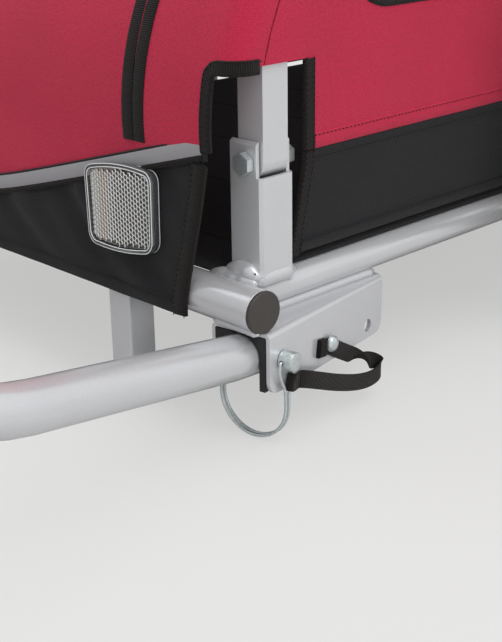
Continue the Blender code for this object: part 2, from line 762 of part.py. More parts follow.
def drawbar_path(frame):
    """The drawbar's middle line, from its tail in the bracket to the hitch."""
    nose = Vector((0, -ARM_NOSE, -drop_at(-ARM_NOSE)))
    tail = Vector((0, DRAWBAR_TAIL, -drop_at(DRAWBAR_TAIL)))
    ahead = ARM_NOSE - ARM_REACH
    elbow = nose + Vector((0, ahead, -ahead * math.tan(DRAWBAR_PITCH_OUT)))
    finish = at(HITCH_X, -HITCH_AHEAD, HITCH_RISE)
    turn = at(HITCH_X, -HITCH_AHEAD + ARM_STRAIGHT, HITCH_RISE)
    corners = [frame @ tail, frame @ nose, frame @ elbow, turn, finish]
    return rounded(corners, [0, ARM_NOSE_BEND, ARM_BEND, ARM_BEND, 0], closed=False, steps=6)


def drawbar(frame):
    """Round tow tube with its pin and pivot holes."""
    bar = tube("drawbar", drawbar_path(frame), DRAWBAR_RADIUS, "silver_paint", resolution=6)
    for tag, back, drop, radius in (("pin", PIN_BACK, PIN_DROP, PIN_RADIUS + RUN),
                                    ("pivot", PIVOT_BACK, PIVOT_DROP, LEASH_BOLT_RADIUS + RUN)):
        boolean(bar, cylinder("drawbar_hole_" + tag, radius, *across(frame, back, drop, -CUT, CUT), sides=20))


def across_matrix(frame, back, drop):
    """Frame of a pin across the bracket: Z runs outwards from the bracket's middle."""
    return frame @ Matrix.Translation((0, back, -drop)) @ Matrix.Rotation(math.pi / 2, 4, "Y")


def drawbar_pivot(frame):
    """Domed bolt that the drawbar turns on, with its nut on the far cheek."""
    half = BRACKET_WIDTH / 2
    dome = half + LEASH_THICK + 4 * GAP
    r, head, rise = LEASH_BOLT_RADIUS, LEASH_BOLT_HEAD, LEASH_BOLT_DOME
    tail = half + LEASH_BOLT_TAIL
    profile = [(0, dome + rise), (head * 0.5, dome + rise * 0.89), (head * 0.87, dome + rise * 0.56),
               (head, dome + rise * 0.17), (head, dome), (r, dome), (r, -tail), (0, -tail)]
    turned("drawbar_pivot_bolt", profile, "zinc", across_matrix(frame, PIVOT_BACK, PIVOT_DROP), steps=20)
    across_nut, thick = LEASH_NUT
    start, end = across(frame, PIVOT_BACK, PIVOT_DROP, -half - GAP, -half - GAP - thick)
    nut = cylinder("drawbar_pivot_nut", across_nut, start, end, "zinc", sides=6)
    bore = across(frame, PIVOT_BACK, PIVOT_DROP, -CUT, 0)
    boolean(nut, cylinder("drawbar_nut_bore", r + RUN, *bore, sides=20))


def lock_pin(frame):
    """Headed pin through bracket and drawbar, and the sprung wire bail that keeps it in."""
    half = BRACKET_WIDTH / 2
    head = half + GAP
    tip = half + PIN_TIP
    r, big = PIN_RADIUS, PIN_HEAD_RADIUS
    top, point = head + PIN_HEAD_LENGTH, 0.3 * r
    profile = [(0, top), (big - CHAMFER, top), (big, top - CHAMFER), (big, head), (r, head), (r, point - tip),
               (r - point, -tip), (0, -tip)]
    axes = across_matrix(frame, PIN_BACK, PIN_DROP)
    slide = empty("pin_pull", axes)
    pin = turned("lock_pin", profile, "zinc", axes, steps=20)
    pin.parent = slide
    pin.matrix_parent_inverse = axes.inverted()
    leg = half + BAIL_LEG_OUT
    hole = cylinder("pin_cross_hole", WIRE_HOLE, frame @ Vector((leg, PIN_BACK - CUT, -PIN_DROP)),
                    frame @ Vector((leg, PIN_BACK + CUT, -PIN_DROP)), sides=12)
    boolean(pin, hole)
    swing = empty("bail_swing", Matrix.Translation(frame @ Vector((leg, PIN_BACK, -PIN_DROP))), slide)
    bail = tube("pin_bail", bail_path(frame, leg), WIRE_RADIUS, "zinc", resolution=1, cyclic=True)
    bail.parent = swing
    bail.matrix_parent_inverse = swing.matrix_world.inverted()


def bail_slope(leg):
    """Both ends of the sloping part of the bail's rear wire, upper end first."""
    return (Vector((leg, PIN_BACK + BAIL_LEG_SPREAD, -PIN_DROP - BAIL_SHANK)),
            Vector((leg, PIN_BACK + BAIL_BOW_SPREAD * 1.4, BAIL_NECK - BAIL_CENTRE_DROP)))


def bail_path(frame, leg):
    """One closed wire: down the front of the head, round the bow, back up behind it."""
    low = BAIL_CENTRE_DROP
    far_top = PIN_DROP + PIN_RADIUS + WIRE_RADIUS + 2 * GAP

    def side_run(sign):
        spread, bow = sign * BAIL_LEG_SPREAD, sign * BAIL_BOW_SPREAD
        run = [(leg, sign * 0.0045, -PIN_DROP), (leg, spread - sign * 0.0012, -PIN_DROP),
               (leg, spread, -PIN_DROP - 0.0014), (leg, spread, -PIN_DROP - BAIL_SHANK),
               (leg, bow * 1.4, BAIL_NECK - low)]
        run += [(x, bow, z) for x, z in arc((0, -low), leg, 0, -180, 14)]
        run += [(-leg, bow, -low + 0.010), (-leg - BAIL_TIP_OUT, bow, -far_top - 0.0015)]
        return run

    front, rear = side_run(-1), side_run(1)
    middle = [(-leg - BAIL_TIP_OUT, 0, -far_top)]
    return [frame @ Vector((x, PIN_BACK + y, z)) for x, y, z in front + middle + rear[::-1]]


def smooth_route(points, steps=3):
    """A Catmull-Rom curve through the points."""
    points = [Vector(p) for p in points]
    padded = [points[0] * 2 - points[1]] + points + [points[-1] * 2 - points[-2]]
    result = []
    for a, b, c, d in zip(padded, padded[1:], padded[2:], padded[3:]):
        for k in range(steps):
            t = k / steps
            result.append(0.5 * (2 * b + (c - a) * t + (2 * a - 5 * b + 4 * c - d) * t * t
                                 + (3 * b - a - 3 * c + d) * t ** 3))
    return result + [points[-1]]


def leash(frame):
    """Webbing strap from the pivot bolt to the bail, so the pin can't be lost."""
    half = BRACKET_WIDTH / 2
    route = [Vector((half + out, back, -drop)) for back, out, drop in LEASH_ROUTE]
    top, low = bail_slope(half + BAIL_LEG_OUT)
    run = (top - low).normalized()
    wire = low + run * (route[-1].z - low.z) / run.z
    eye = WIRE_RADIUS + GAP + LEASH_THICK / 2 + 0.0004
    turns = [math.radians(65 + 24 * k) for k in range(11)]
    square_on = Vector((0, run.z, -run.y))
    loop = [wire + Vector((math.sin(a) * eye, 0, 0)) + square_on * math.cos(a) * eye for a in turns]
    way = smooth_route(route)
    path = way + loop
    rings = []
    for i, point in enumerate(path):
        drop = run if i >= len(way) else Vector((0, 0, 1)).lerp(run, max(0, i - len(way) + 12) / 12)
        ahead = (path[min(i + 1, len(path) - 1)] - path[max(i - 1, 0)]).normalized()
        wide = (drop - ahead * drop.dot(ahead)).normalized()
        flat = ahead.cross(wide)
        w, t = wide * LEASH_WIDTH / 2, flat * LEASH_THICK / 2
        rings.append([frame @ (point + w * a + t * b) for a, b in ((-1, -1), (1, -1), (1, 1), (-1, 1))])
    bm = bmesh.new()
    grid = [[bm.verts.new(p) for p in ring] for ring in rings]
    for first, second in zip(grid, grid[1:]):
        for k in range(4):
            bm.faces.new((first[k], first[k - 1], second[k - 1], second[k]))
    bm.faces.new(grid[0])
    bm.faces.new(grid[-1][::-1])
    bmesh.ops.recalc_face_normals(bm, faces=bm.faces)
    strap = from_bmesh("pin_leash", bm, "webbing")
    boolean(strap, cylinder("leash_eyelet", LEASH_BOLT_RADIUS + GAP,
                            *across(frame, PIVOT_BACK, PIVOT_DROP, half - 0.01, half + 0.006), sides=20))


def hitch():
    """Rubber joint, fork, swivelling axle block and its pin at the drawbar's end."""
    end_y = -HITCH_AHEAD - GAP
    flex_end = end_y - FLEX_LENGTH
    rise = HITCH_RISE
    waist = FLEX_RADIUS * 0.78
    length = FLEX_LENGTH
    ribs = [(FLEX_RADIUS if k % 2 == 0 else waist, length * (1 - k / 8)) for k in range(9)]
    profile = [(0, length)] + ribs + [(0, 0)]
    turned("hitch_flex", profile, "black_rubber", Matrix.Translation(at(HITCH_X, end_y, rise))
           @ Matrix.Rotation(math.pi / 2, 4, "X"), steps=18)
    fork_face = flex_end - GAP
    fork = cylinder("hitch_fork", DRAWBAR_RADIUS, at(HITCH_X, fork_face, rise),
                    at(HITCH_X, fork_face - FORK_BASE, rise), "zinc", sides=20)
    ear_start = fork_face - FORK_BASE + SINK
    ear_mid = ear_start - FORK_REACH / 2
    pin_y = -HITCH_PIN_AHEAD
    for tag, sign in (("top", 1), ("bottom", -1)):
        z = rise + sign * (FORK_GAP + FORK_EAR) / 2
        ear = box("fork_ear_" + tag, (EAR_WIDTH, FORK_REACH, FORK_EAR), at(HITCH_X, ear_mid, z))
        boolean(fork, ear, "UNION")
    reach = FORK_GAP / 2 + FORK_EAR
    boolean(fork, cylinder("fork_hole", HITCH_PIN_RADIUS + RUN, at(HITCH_X, pin_y, rise - CUT),
                           at(HITCH_X, pin_y, rise + CUT), sides=20))
    swivel = empty("hitch_swivel", Matrix.Translation(at(HITCH_X, pin_y, rise)))
    axle_block(swivel, pin_y, rise)
    hitch_pin(pin_y, rise, reach)


def axle_block(swivel, pin_y, rise):
    """Tongue between the fork's ears, with the plate that bolts on the bicycle's axle."""
    width = TONGUE_WIDTH
    thick, length, height = PLATE_SIZE
    front = pin_y - PLATE_AHEAD - length
    outline = [(HITCH_X - width / 2, front)] + [(HITCH_X + width / 2, front)]
    outline += arc((HITCH_X, pin_y), width / 2, 0, 180, 12)
    block = plate("hitch_block", outline, TONGUE_THICK, Matrix.Translation(at(0, 0, rise)), "zinc")
    x = HITCH_X - width / 2 - thick / 2 + SINK
    middle_y = front + length / 2 + SINK / 20
    boolean(block, box("block_plate", PLATE_SIZE, at(x, middle_y, rise), edge=PLATE_EDGE), "UNION")
    hole_y, hole_z = front + PLATE_HOLE_INSET, rise + height / 2 - PLATE_HOLE_INSET
    boolean(block, cylinder("block_axle_hole", PLATE_HOLE, at(x - CUT, hole_y, hole_z),
                            at(x + CUT, hole_y, hole_z), sides=20))
    boolean(block, cylinder("block_pin_hole", HITCH_PIN_RADIUS + RUN, at(HITCH_X, pin_y, rise - CUT),
                            at(HITCH_X, pin_y, rise + CUT), sides=20))
    block.parent = swivel
    block.matrix_parent_inverse = swivel.matrix_world.inverted()


def hitch_pin(pin_y, rise, reach):
    """Drop pin with a ring to pull it by."""
    top = reach + GAP
    low = -reach - HITCH_PIN_EXTRA
    r, tip = HITCH_PIN_RADIUS, HITCH_PIN_TIP
    big, thick = HITCH_PIN_HEAD
    profile = [(0, top + thick), (big, top + thick), (big, top), (r, top), (r, low + tip), (r - tip, low),
               (0, low)]
    pin = turned("hitch_pin", profile, "zinc", Matrix.Translation(at(HITCH_X, pin_y, rise)), steps=20)
    ring_z = rise + top + thick * 2 / 3 + HITCH_RING
    ring = [at(HITCH_X + HITCH_RING * math.sin(a), pin_y, ring_z - HITCH_RING * math.cos(a)) for a in
            [2 * math.pi * k / 16 for k in range(16)]]
    boolean(pin, tube("hitch_pin_ring", ring, HITCH_RING_WIRE, resolution=1, cyclic=True), "UNION")


def axle_height():
    """Wheel axle above the base axis."""
    return TYRE_RADIUS - BASE_HEIGHT


def axle_brackets():
    """Flanged plates welded outside the rails, each with the socket that takes a wheel's axle."""
    inside = RAIL_X + PANEL_OUT + FABRIC + GAP
    for side in sides():
        name = side_name(side)
        top = axle_height() + BRACKET_RISE
        low = -RAIL_RADIUS
        mid = (top + low) / 2
        web = box("axle_bracket_" + name, (BRACKET_PLATE, BRACKET_BREADTH, top - low),
                  at(side * (inside + BRACKET_PLATE / 2), AXLE_BACK, mid), "silver_paint")
        deep = BRACKET_FLANGE + BRACKET_PLATE
        for tag, sign in (("front", -1), ("rear", 1)):
            y = AXLE_BACK + sign * (BRACKET_BREADTH / 2 - BRACKET_PLATE / 2)
            flange = box(f"bracket_flange_{tag}_{name}", (deep, BRACKET_PLATE, top - low),
                         at(side * (inside + deep / 2), y, mid))
            boolean(web, flange, "UNION")
        foot = RAIL_X + RAIL_RADIUS + GAP
        width = inside - foot + SINK
        boolean(web, box("bracket_foot_" + name, (width, *BRACKET_FOOT),
                         at(side * (foot + width / 2), AXLE_BACK, 0)), "UNION")
        z, seat = axle_height(), inside + AXLE_SEAT
        socket = cylinder("axle_socket_" + name, RECEIVER_RADIUS, at(side * (inside + SINK), AXLE_BACK, z),
                          at(side * (inside + RECEIVER_LENGTH), AXLE_BACK, z), sides=20)
        boolean(web, socket, "UNION")
        boolean(web, cylinder("axle_bore_" + name, AXLE_RADIUS + RUN, at(side * seat, AXLE_BACK, z),
                              at(side * (inside + CUT), AXLE_BACK, z), sides=20))
        wheel(side, inside + RECEIVER_LENGTH + GAP, seat + GAP)


def wheel(side, hub_in, axle_in):
    """A wheel: tyre, moulded rim with spokes and hub, stub axle and its release button."""
    name = side_name(side)
    hub_out = hub_in + HUB_LENGTH
    middle = (hub_in + hub_out) / 2
    spin = Matrix.Translation(at(side * middle, AXLE_BACK, axle_height())) @ Matrix.Rotation(
        side * math.pi / 2, 4, "Y")
    pivot = empty("wheel_spin_" + name, spin)
    tyre_and_rim(name, spin, pivot)
    shaft_in, shaft_out = axle_in - middle, HUB_LENGTH / 2 + GAP
    head = shaft_out + AXLE_HEAD
    r, big, bore, edge = AXLE_RADIUS, AXLE_HEAD_RADIUS, BUTTON_RADIUS + RUN, TURNED_EDGE
    blind = head - BUTTON_BORE
    profile = [(0, blind), (bore, blind), (bore, head), (big - edge, head), (big, head - edge),
               (big, shaft_out), (r, shaft_out), (r, shaft_in + edge), (r - edge, shaft_in), (0, shaft_in)]
    turned("axle_" + name, profile, "zinc", spin, steps=20)
    low = blind + BUTTON_TRAVEL + GAP
    out = head + BUTTON_STAND
    r = BUTTON_RADIUS
    profile = [(0, out), (r - edge, out), (r, out - edge), (r, low), (0, low)]
    turned("release_button_" + name, profile, "dark_plastic", spin, steps=20)


def tyre_and_rim(name, spin, pivot):
    """The turning pieces of one wheel, in the wheel's own frame with Z outwards."""
    centre = TYRE_RADIUS - TYRE_SECTION
    seat = RIM_RADIUS + GAP
    reach = math.degrees(math.acos((seat - centre) / TYRE_SECTION))
    section = arc((centre, 0), TYRE_SECTION, reach, -reach, 8)
    tyre = turned("tyre_" + name, section, "tyre_rubber", spin, steps=WHEEL_STEPS, closed=True)
    half = RIM_WIDTH / 2
    inner = RIM_RADIUS - RIM_WALL
    lip, crease = RIM_RADIUS - RIM_LIP, inner + RIM_CREASE
    bead = half - RIM_LIP * 3 / 4
    section = [(RIM_RADIUS, bead), (RIM_RADIUS, -bead), (lip, -half), (crease, -half * 0.6),
               (inner, -half * 0.3), (inner, half * 0.3), (crease, half * 0.6), (lip, half)]
    ring = turned("rim_ring_" + name, section, None, spin, steps=WHEEL_STEPS, closed=True)
    hub_half = HUB_LENGTH / 2
    ease = HUB_RADIUS - HUB_EDGE
    hub = [(0, hub_half), (ease, hub_half), (HUB_RADIUS, hub_half - HUB_EDGE),
           (HUB_RADIUS, HUB_EDGE - hub_half), (ease, -hub_half), (0, -hub_half)]
    rim = turned("rim_" + name, hub, "black_plastic", spin, steps=20)
    boolean(rim, spoke_star("spokes_" + name, spin), "UNION")
    boolean(rim, ring, "UNION")
    bore = cylinder("hub_bore_" + name, AXLE_RADIUS + RUN, (0, 0, -CUT), (0, 0, CUT), sides=20)
    bore.matrix_world = spin
    boolean(rim, bore)
    for obj in (tyre, rim):
        obj.parent = pivot
        obj.matrix_parent_inverse = spin.inverted()


def spoke_star(name, spin):
    """All spokes as one flat star, from the hub to the inside of the ring."""
    outer, inner = RIM_RADIUS - RIM_WALL / 2, HUB_RADIUS * 0.8
    outline = []
    for k in range(SPOKES):
        angle = 2 * math.pi * k / SPOKES
        along = Vector((math.cos(angle), math.sin(angle)))
        beside = Vector((-along.y, along.x)) * SPOKE_WIDTH / 2
        outline += [along * inner - beside * 1.15, along * outer - beside, along * outer + beside,
                    along * inner + beside * 1.15]
    return plate(name, outline, SPOKE_THICK, spin)


def front_line(z):
    """Front face of the cabin, measured back from the front tube, at a height."""
    straight = PANEL_FRONT - FABRIC / 2 + z * math.tan(PANEL_LEAN)
    knee = Vector((post_y("front") - FRAME_TUBE / 2 - PANEL_AHEAD, FRAME_KNEE))
    above = max(0.0, z - SEAM)
    share = min(1.0, above / (FRAME_KNEE - SEAM + 0.02))
    sloped = knee.x + (z - knee.y) * math.tan(FRAME_LEAN)
    return straight * (1 - share) + sloped * share


def pipe_line(x):
    """Height of the piping seam between the lower and upper front panels."""
    return PIPE_LOW + PIPE_SLOPE * math.sqrt(x * x + PIPE_BLEND ** 2)


def front_panels():
    """Black lower front panel, and the upper front panel that wraps round to the sides."""
    foot = Matrix.Translation(at(0, PANEL_FRONT - FABRIC / 2, 0))
    lean = foot @ Matrix.Rotation(math.pi / 2 - PANEL_LEAN, 4, "X")
    high = 1 / math.cos(PANEL_LEAN)
    span = CUTOUT_HALF
    top = [(x, pipe_line(x) * high - GAP) for x in [span * (1 - k / 10) for k in range(21)]]
    edge = [(span + out, z) for out, z in LOWER_EDGE]
    outline = [(-x, z) for x, z in edge[::-1]] + [(-span, PANEL_FOOT)] + [(span, PANEL_FOOT)] + edge
    plate("front_lower_panel", outline + top, FABRIC, lean, "black_fabric")
    side = RAIL_X + PANEL_OUT + FABRIC / 2
    flat = side - SHOULDER
    plan = [(-side, SHOULDER + SIDE_WRAP)]
    plan += arc((-flat, SHOULDER), SHOULDER, 180, 270, SHOULDER_STEPS)
    plan += [(-CUTOUT_EDGE, 0)] + [(-span + 2 * span * k / 10, 0) for k in range(11)] + [(CUTOUT_EDGE, 0)]
    plan += arc((flat, SHOULDER), SHOULDER, 270, 360, SHOULDER_STEPS)
    plan += [(side, SHOULDER + SIDE_WRAP)]
    rows = []
    levels = 4
    for k in range(levels + 1):
        row = []
        for x, back in plan:
            low = pipe_line(min(abs(x), span)) + GAP * 2 if abs(x) <= CUTOUT_EDGE else CUTOUT_TOP
            crown = upper_front_top(x)
            z = low + (crown - low) * k / levels
            row.append(at(x, front_line(z) + back, z))
        rows.append(row)
    upper = loft("front_upper_panel", rows, "red_fabric", thickness=FABRIC)
    slope = front_window_matrix()
    boolean(upper, plate("front_window_cut", front_window_outline(), CUT, slope))
    plate("front_window", front_window_outline(WINDOW_GAP), WINDOW_THICK, slope, "mesh_fabric")


def upper_front_top(x):
    """Top edge of the upper front panel: under the roof, lower where it wraps to the side."""
    crown = FRAME_TOP + FRAME_TUBE / 2 + ROOF_TOP - FABRIC - CROWN_GAP
    over = max(0.0, abs(x) - (RAIL_X - SHOULDER)) / SHOULDER
    return crown - (ROOF_TOP + HEM_DROP) * min(1.0, over)


def front_window_matrix():
    """Plane of the front window, on the panel's sloping part."""
    middle = (FRAME_KNEE + FRAME_TOP) / 2 + FRONT_WINDOW_RISE
    turn = Matrix.Rotation(math.pi / 2 - FRAME_LEAN, 4, "X")
    return Matrix.Translation(at(0, front_line(middle), middle)) @ turn


def front_window_outline(gap=0.0):
    """Rounded window, in its own plane, drawn in by a gap for the mesh inside it."""
    wide, high = FRONT_WINDOW[0] / 2 - gap, FRONT_WINDOW[1] / 2 - gap
    return rounded([(-wide, -high), (wide, -high), (wide, high), (-wide, high)], WINDOW_CORNER - gap)


def side_outline(low, high, rear):
    """Outline of a side panel between two heights, cut away round the corner posts."""
    front_edge = [z for z in (low, CUTOUT_TOP, CUTOUT_TOP + 0.0001, 0.20, 0.26, high) if low <= z <= high]
    points = []
    for z in front_edge:
        inside = CUTOUT_BACK if z <= CUTOUT_TOP else front_line(z) + SHOULDER + SIDE_WRAP + 0.0005
        points.append((inside, z))
    rear_cut = BASE_LENGTH - CUTOUT_BACK
    if high > CUTOUT_TOP:
        points += [(rear, high), (rear, CUTOUT_TOP + 0.0001), (rear_cut, CUTOUT_TOP), (rear_cut, low)]
    else:
        points += [(rear_cut, high), (rear_cut, low)]
    return points[::-1]


def side_panels():
    """Lower skirts on the base and upper panels on the folding frames, with mesh windows."""
    rear = REAR_Y - FABRIC / 2 - GAP * 2
    for side in sides():
        name = side_name(side)
        x = side * (RAIL_X + PANEL_OUT + FABRIC / 2)
        seam = SEAM if side > 0 else PIVOT_HEIGHT[side] + RIGHT_SEAM_RISE
        plate("side_skirt_" + name, side_outline(SKIRT_FOOT, seam - GAP, rear), FABRIC, side_plane(x),
              "black_fabric")
        panel = plate("side_panel_" + name, side_outline(seam, FRAME_TOP, rear), FABRIC, side_plane(x),
                      "red_fabric", holes=[side_window()[::-1]])
        mesh = plate("side_window_" + name, side_window(WINDOW_GAP), WINDOW_THICK, side_plane(x),
                     "mesh_fabric")
        hinge = bpy.data.objects["side_fold_" + name]
        for obj in (panel, mesh):
            obj.parent = hinge
            obj.matrix_parent_inverse = hinge.matrix_world.inverted()


def side_window(gap=0.0):
    """Trapezoid window in a side panel, as (back, up), drawn in by a gap for the mesh inside it."""
    low, high = CUTOUT_TOP + WINDOW_FOOT, FRAME_TOP - WINDOW_HEAD
    front_low = front_line(low) + SHOULDER + WINDOW_INSET
    front_high = front_line(high) + SHOULDER + WINDOW_INSET
    rear = BASE_LENGTH - WINDOW_REAR
    corners = [Vector(p) for p in ((front_low, low), (rear, low), (rear, high), (front_high, high))]
    drawn_in = [offset_corner(c, corners[i - 1], corners[(i + 1) % 4], gap) for i, c in enumerate(corners)]
    return rounded(drawn_in, WINDOW_CORNER - gap)


def roof():
    """Roof with turned-down edges over the frames, and its open hatch."""
    half = RAIL_X + ROOF_OUT
    top = FRAME_TOP + FRAME_TUBE / 2 + ROOF_TOP
    hem = FRAME_TOP + ROOF_HEM
    section = [(half, hem)] + arc((half - ROOF_RADIUS, top - ROOF_RADIUS), ROOF_RADIUS, 0, 90, 5)
    section += [(half * 0.6, top), (half * 0.2, top)]
    section += [(-x, z) for x, z in section[::-1]]
    front = front_line(top) + 0.0015 + FABRIC
    rear = REAR_Y - FABRIC / 2 - GAP * 2
    rows = [[at(x, front + (rear - front) * k / 2, z) for x, z in section] for k in range(3)]
    panel = loft("roof_panel", rows, "red_fabric", thickness=FABRIC)
    wide, long_way = HATCH_SIZE
    outline = rounded([(-wide / 2, -long_way / 2), (wide / 2, -long_way / 2), (wide / 2, long_way / 2),
                       (-wide / 2, long_way / 2)], HATCH_CORNER)
    boolean(panel, plate("hatch_cut", outline, CUT, Matrix.Translation(at(0, HATCH_Y, top))))


def rear_door():
    """Rear flap that folds down behind the rear tube."""
    low, high = 0.006, FRAME_TOP + FRAME_TUBE / 2 + ROOF_TOP - 0.002
    half = RAIL_X + PANEL_OUT + FABRIC
    hinge = empty("rear_door_hinge", Matrix.Translation(at(0, REAR_Y, low)))
    door_plane = Matrix.Translation(at(0, REAR_Y, 0)) @ Matrix.Rotation(math.pi / 2, 4, "X")
    outline = rounded([(-half, low), (half, low), (half, high), (-half, high)], [0.004, 0.004, 0.02, 0.02])
    door = plate("rear_door", outline, FABRIC, door_plane, "red_fabric")
    door.parent = hinge
    door.matrix_parent_inverse = hinge.matrix_world.inverted()


def floor_sheet():
    """Floor on the rails between the cross tubes, notched round the posts."""
    edge_y = CROSS_RADIUS + 0.001
    post = CROSS_RADIUS + POST_SIZE + 0.0015
    wide, narrow = RAIL_X + 0.004, RAIL_X - POST_SIZE / 2 - 0.001
    quarter = [(narrow, edge_y), (narrow, post), (wide, post)]
    right = quarter + [(x, BASE_LENGTH - y) for x, y in quarter[::-1]]
    outline = right + [(-x, y) for x, y in right[::-1]]
    z = RAIL_RADIUS + GAP + FLOOR_THICK / 2
    plate("floor_sheet", outline, FLOOR_THICK, Matrix.Translation(at(0, 0, z)), "black_fabric")


def reflectors():
    """Moulded reflectors on the lower front panel, with a domed face."""
    for side in sides():
        wide, high = REFLECTOR_SIZE[0] / 2, REFLECTOR_SIZE[1] / 2
        low, corner = wide * REFLECTOR_TAPER, REFLECTOR_CORNER
        outline = rounded([(-low, -high), (low, -high), (wide, high), (-wide, high)],
                          [corner, corner, corner / 2, corner / 2])
        surface = PANEL_FRONT - FABRIC + REFLECTOR_Z * math.tan(PANEL_LEAN) - GAP * 1.5
        middle = Matrix.Translation(at(side * REFLECTOR_X, surface - REFLECTOR_DEPTH / 2, REFLECTOR_Z))
        tilt = Matrix.Rotation(math.pi / 2 - PANEL_LEAN, 4, "X")
        seat = middle @ tilt @ Matrix.Rotation(side * REFLECTOR_ROLL, 4, "Z")
        body = plate("front_reflector_" + side_name(side), outline, REFLECTOR_DEPTH, seat, "clear_plastic")
        bevel(body, REFLECTOR_EDGE)


def build():
    """Makes every piece."""
    base_frame()
    corner_posts()
    side_frames()
    spreader_bars()
    support_legs()
    frame = bracket_matrix()
    drawbar_bracket(frame)
    bracket_liner(frame)
    drawbar(frame)
    drawbar_pivot(frame)
    lock_pin(frame)
    leash(frame)
    hitch()
    axle_brackets()
    front_panels()
    side_panels()
    roof()
    rear_door()
    floor_sheet()
    reflectors()
    bpy.context.view_layer.update()


build()
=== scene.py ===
"""Dresses the dog bike trailer: cloth, trim, welds, fasteners, wheels and finishes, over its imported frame.

Laid out as an add-on and run as a script. The front faces -Y, the driver's left is +X, the ground is Z = 0,
and lengths are in metres.
"""
import json
import math

import bmesh
import bpy
from mathutils import Matrix, Vector, kdtree, noise
from mathutils.geometry import delaunay_2d_cdt


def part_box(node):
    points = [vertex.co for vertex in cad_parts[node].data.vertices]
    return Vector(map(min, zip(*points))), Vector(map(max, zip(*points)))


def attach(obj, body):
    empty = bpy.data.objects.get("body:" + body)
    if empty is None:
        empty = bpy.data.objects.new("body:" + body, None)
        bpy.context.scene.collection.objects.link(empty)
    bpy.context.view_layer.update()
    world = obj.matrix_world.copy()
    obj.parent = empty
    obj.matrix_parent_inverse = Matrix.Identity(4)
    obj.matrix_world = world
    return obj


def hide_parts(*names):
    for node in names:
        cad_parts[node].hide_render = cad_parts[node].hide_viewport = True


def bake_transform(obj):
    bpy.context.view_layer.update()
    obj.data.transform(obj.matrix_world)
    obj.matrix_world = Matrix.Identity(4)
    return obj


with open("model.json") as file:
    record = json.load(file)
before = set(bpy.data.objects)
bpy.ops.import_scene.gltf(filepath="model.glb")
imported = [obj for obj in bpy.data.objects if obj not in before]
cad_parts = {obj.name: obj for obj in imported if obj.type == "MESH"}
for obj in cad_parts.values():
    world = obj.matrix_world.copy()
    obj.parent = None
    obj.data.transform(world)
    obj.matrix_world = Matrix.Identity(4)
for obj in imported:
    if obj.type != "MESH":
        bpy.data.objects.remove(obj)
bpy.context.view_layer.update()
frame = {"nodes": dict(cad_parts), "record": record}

bl_info = {
    "name": "Dog bike trailer",
    "version": (1, 0, 0),
    "blender": (4, 5, 0),
    "location": "3D View > Sidebar > Trailer",
    "description": "Dresses the packed frame of a dog bike trailer",
    "category": "Object",
}

BODY_OF = {node: body for body, nodes in frame["record"]["behaviour"]["bodies"].items() for node in nodes}

# Frame tubes, from the middle of the front tube's axis; side frames and sides are named by 1 and -1
FRONT_Y = sum(v.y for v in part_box("front_cross_tube")) / 2
BASE_Z = sum(v.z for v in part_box("front_cross_tube")) / 2
ORIGIN = Vector((0, FRONT_Y, BASE_Z))
RAIL_X = 0.265
BASE_LENGTH = 0.780
CROSS_RADIUS = 0.0143
RAIL_RADIUS = 0.0111
POST_SIZE = 0.030
POST_BACK = CROSS_RADIUS + 0.0006 + POST_SIZE / 2
LEG_X = 0.163
PIVOT_HEIGHT = {1: 0.0885, -1: 0.1225}
FRAME_HALF = 0.011
FRAME_KNEE = 0.175
FRAME_TOP = 0.430
FRAME_LEAN = math.radians(21)

# Cloth of the cabin, from the same point
PANEL_LEAN = math.radians(3.5)
PANEL_FRONT = -0.0160
PANEL_FOOT = -0.0128
PANEL_OUT = 0.0148
CLOTH_LEAD = 0.015
SHOULDER = 0.016
SIDE_WRAP = 0.008
SEAM = 0.0915
RIGHT_SEAM_RISE = 0.004
SEAM_GAP = 0.0003
SKIRT_FOOT = 0.0180
SKIRT_IN = 0.0130
CUTOUT_TOP = 0.150
CUTOUT_BACK = 0.0575
CUTOUT_EDGE = 0.2585
LOWER_HALF = 0.229
REAR_BACK = 0.7975
CLOTH_REAR = REAR_BACK - 0.0018
ROOF_TOP = FRAME_TOP + FRAME_HALF + 0.0353
ROOF_HALF = RAIL_X + 0.0170
ROOF_RADIUS = 0.010
ROOF_HEM = FRAME_TOP + 0.0015
FLAP_HALF = 0.190
CROWN_START = 0.249

# Half width, foot and top; foot, top, front inset, rear inset and corner; half width, start, end and corner
FRONT_WINDOW = (0.175, 0.2192, 0.4058)
SIDE_WINDOW = (0.180, 0.385, 0.071, 0.075, 0.040)
HATCH = (0.150, 0.315, 0.565, 0.050)

# Reflectors: middle across and up, back face, thickness, and how far each is turned in its plane
REFLECTOR_X = 0.1815
REFLECTOR_Z = 0.050
REFLECTOR_BACK = -0.01765
REFLECTOR_THICK = 0.0075
REFLECTOR_TURN = math.radians(4.5)

# Wheels and hitch
AXLE_BACK = 0.470
WHEEL_X = 0.3306
WHEEL_Z = 0.203
HITCH = Vector((0.070, FRONT_Y - 0.600, BASE_Z + 0.172))

# Drawbar bracket with its pivot bolt, lock pin and wire bail, in the bracket's own frame
BRACKET_YAW = math.radians(9.7)
BRACKET_HALF = 0.023
PIVOT_BACK = 0.069
PIVOT_DROP = 0.0285
PIN_BACK = 0.0145
PIN_DROP = 0.0213
PIN_RADIUS = 0.005
WIRE_RADIUS = 0.00105
BAIL_LEG = BRACKET_HALF + 0.0034
BAIL_SPREAD = 0.0081
BAIL_BOW = 0.0017
BAIL_SHANK = 0.009
BAIL_NECK = 0.012
BAIL_DROP = 0.055

# The camera that took the photograph: yaw, pitch and roll in degrees, its place and its lens
CAMERA_TURN = (45.91, 21.46, -0.88)
CAMERA_PLACE = (0.80196, -0.53637, 0.37271)
CAMERA_LENS = 68.13

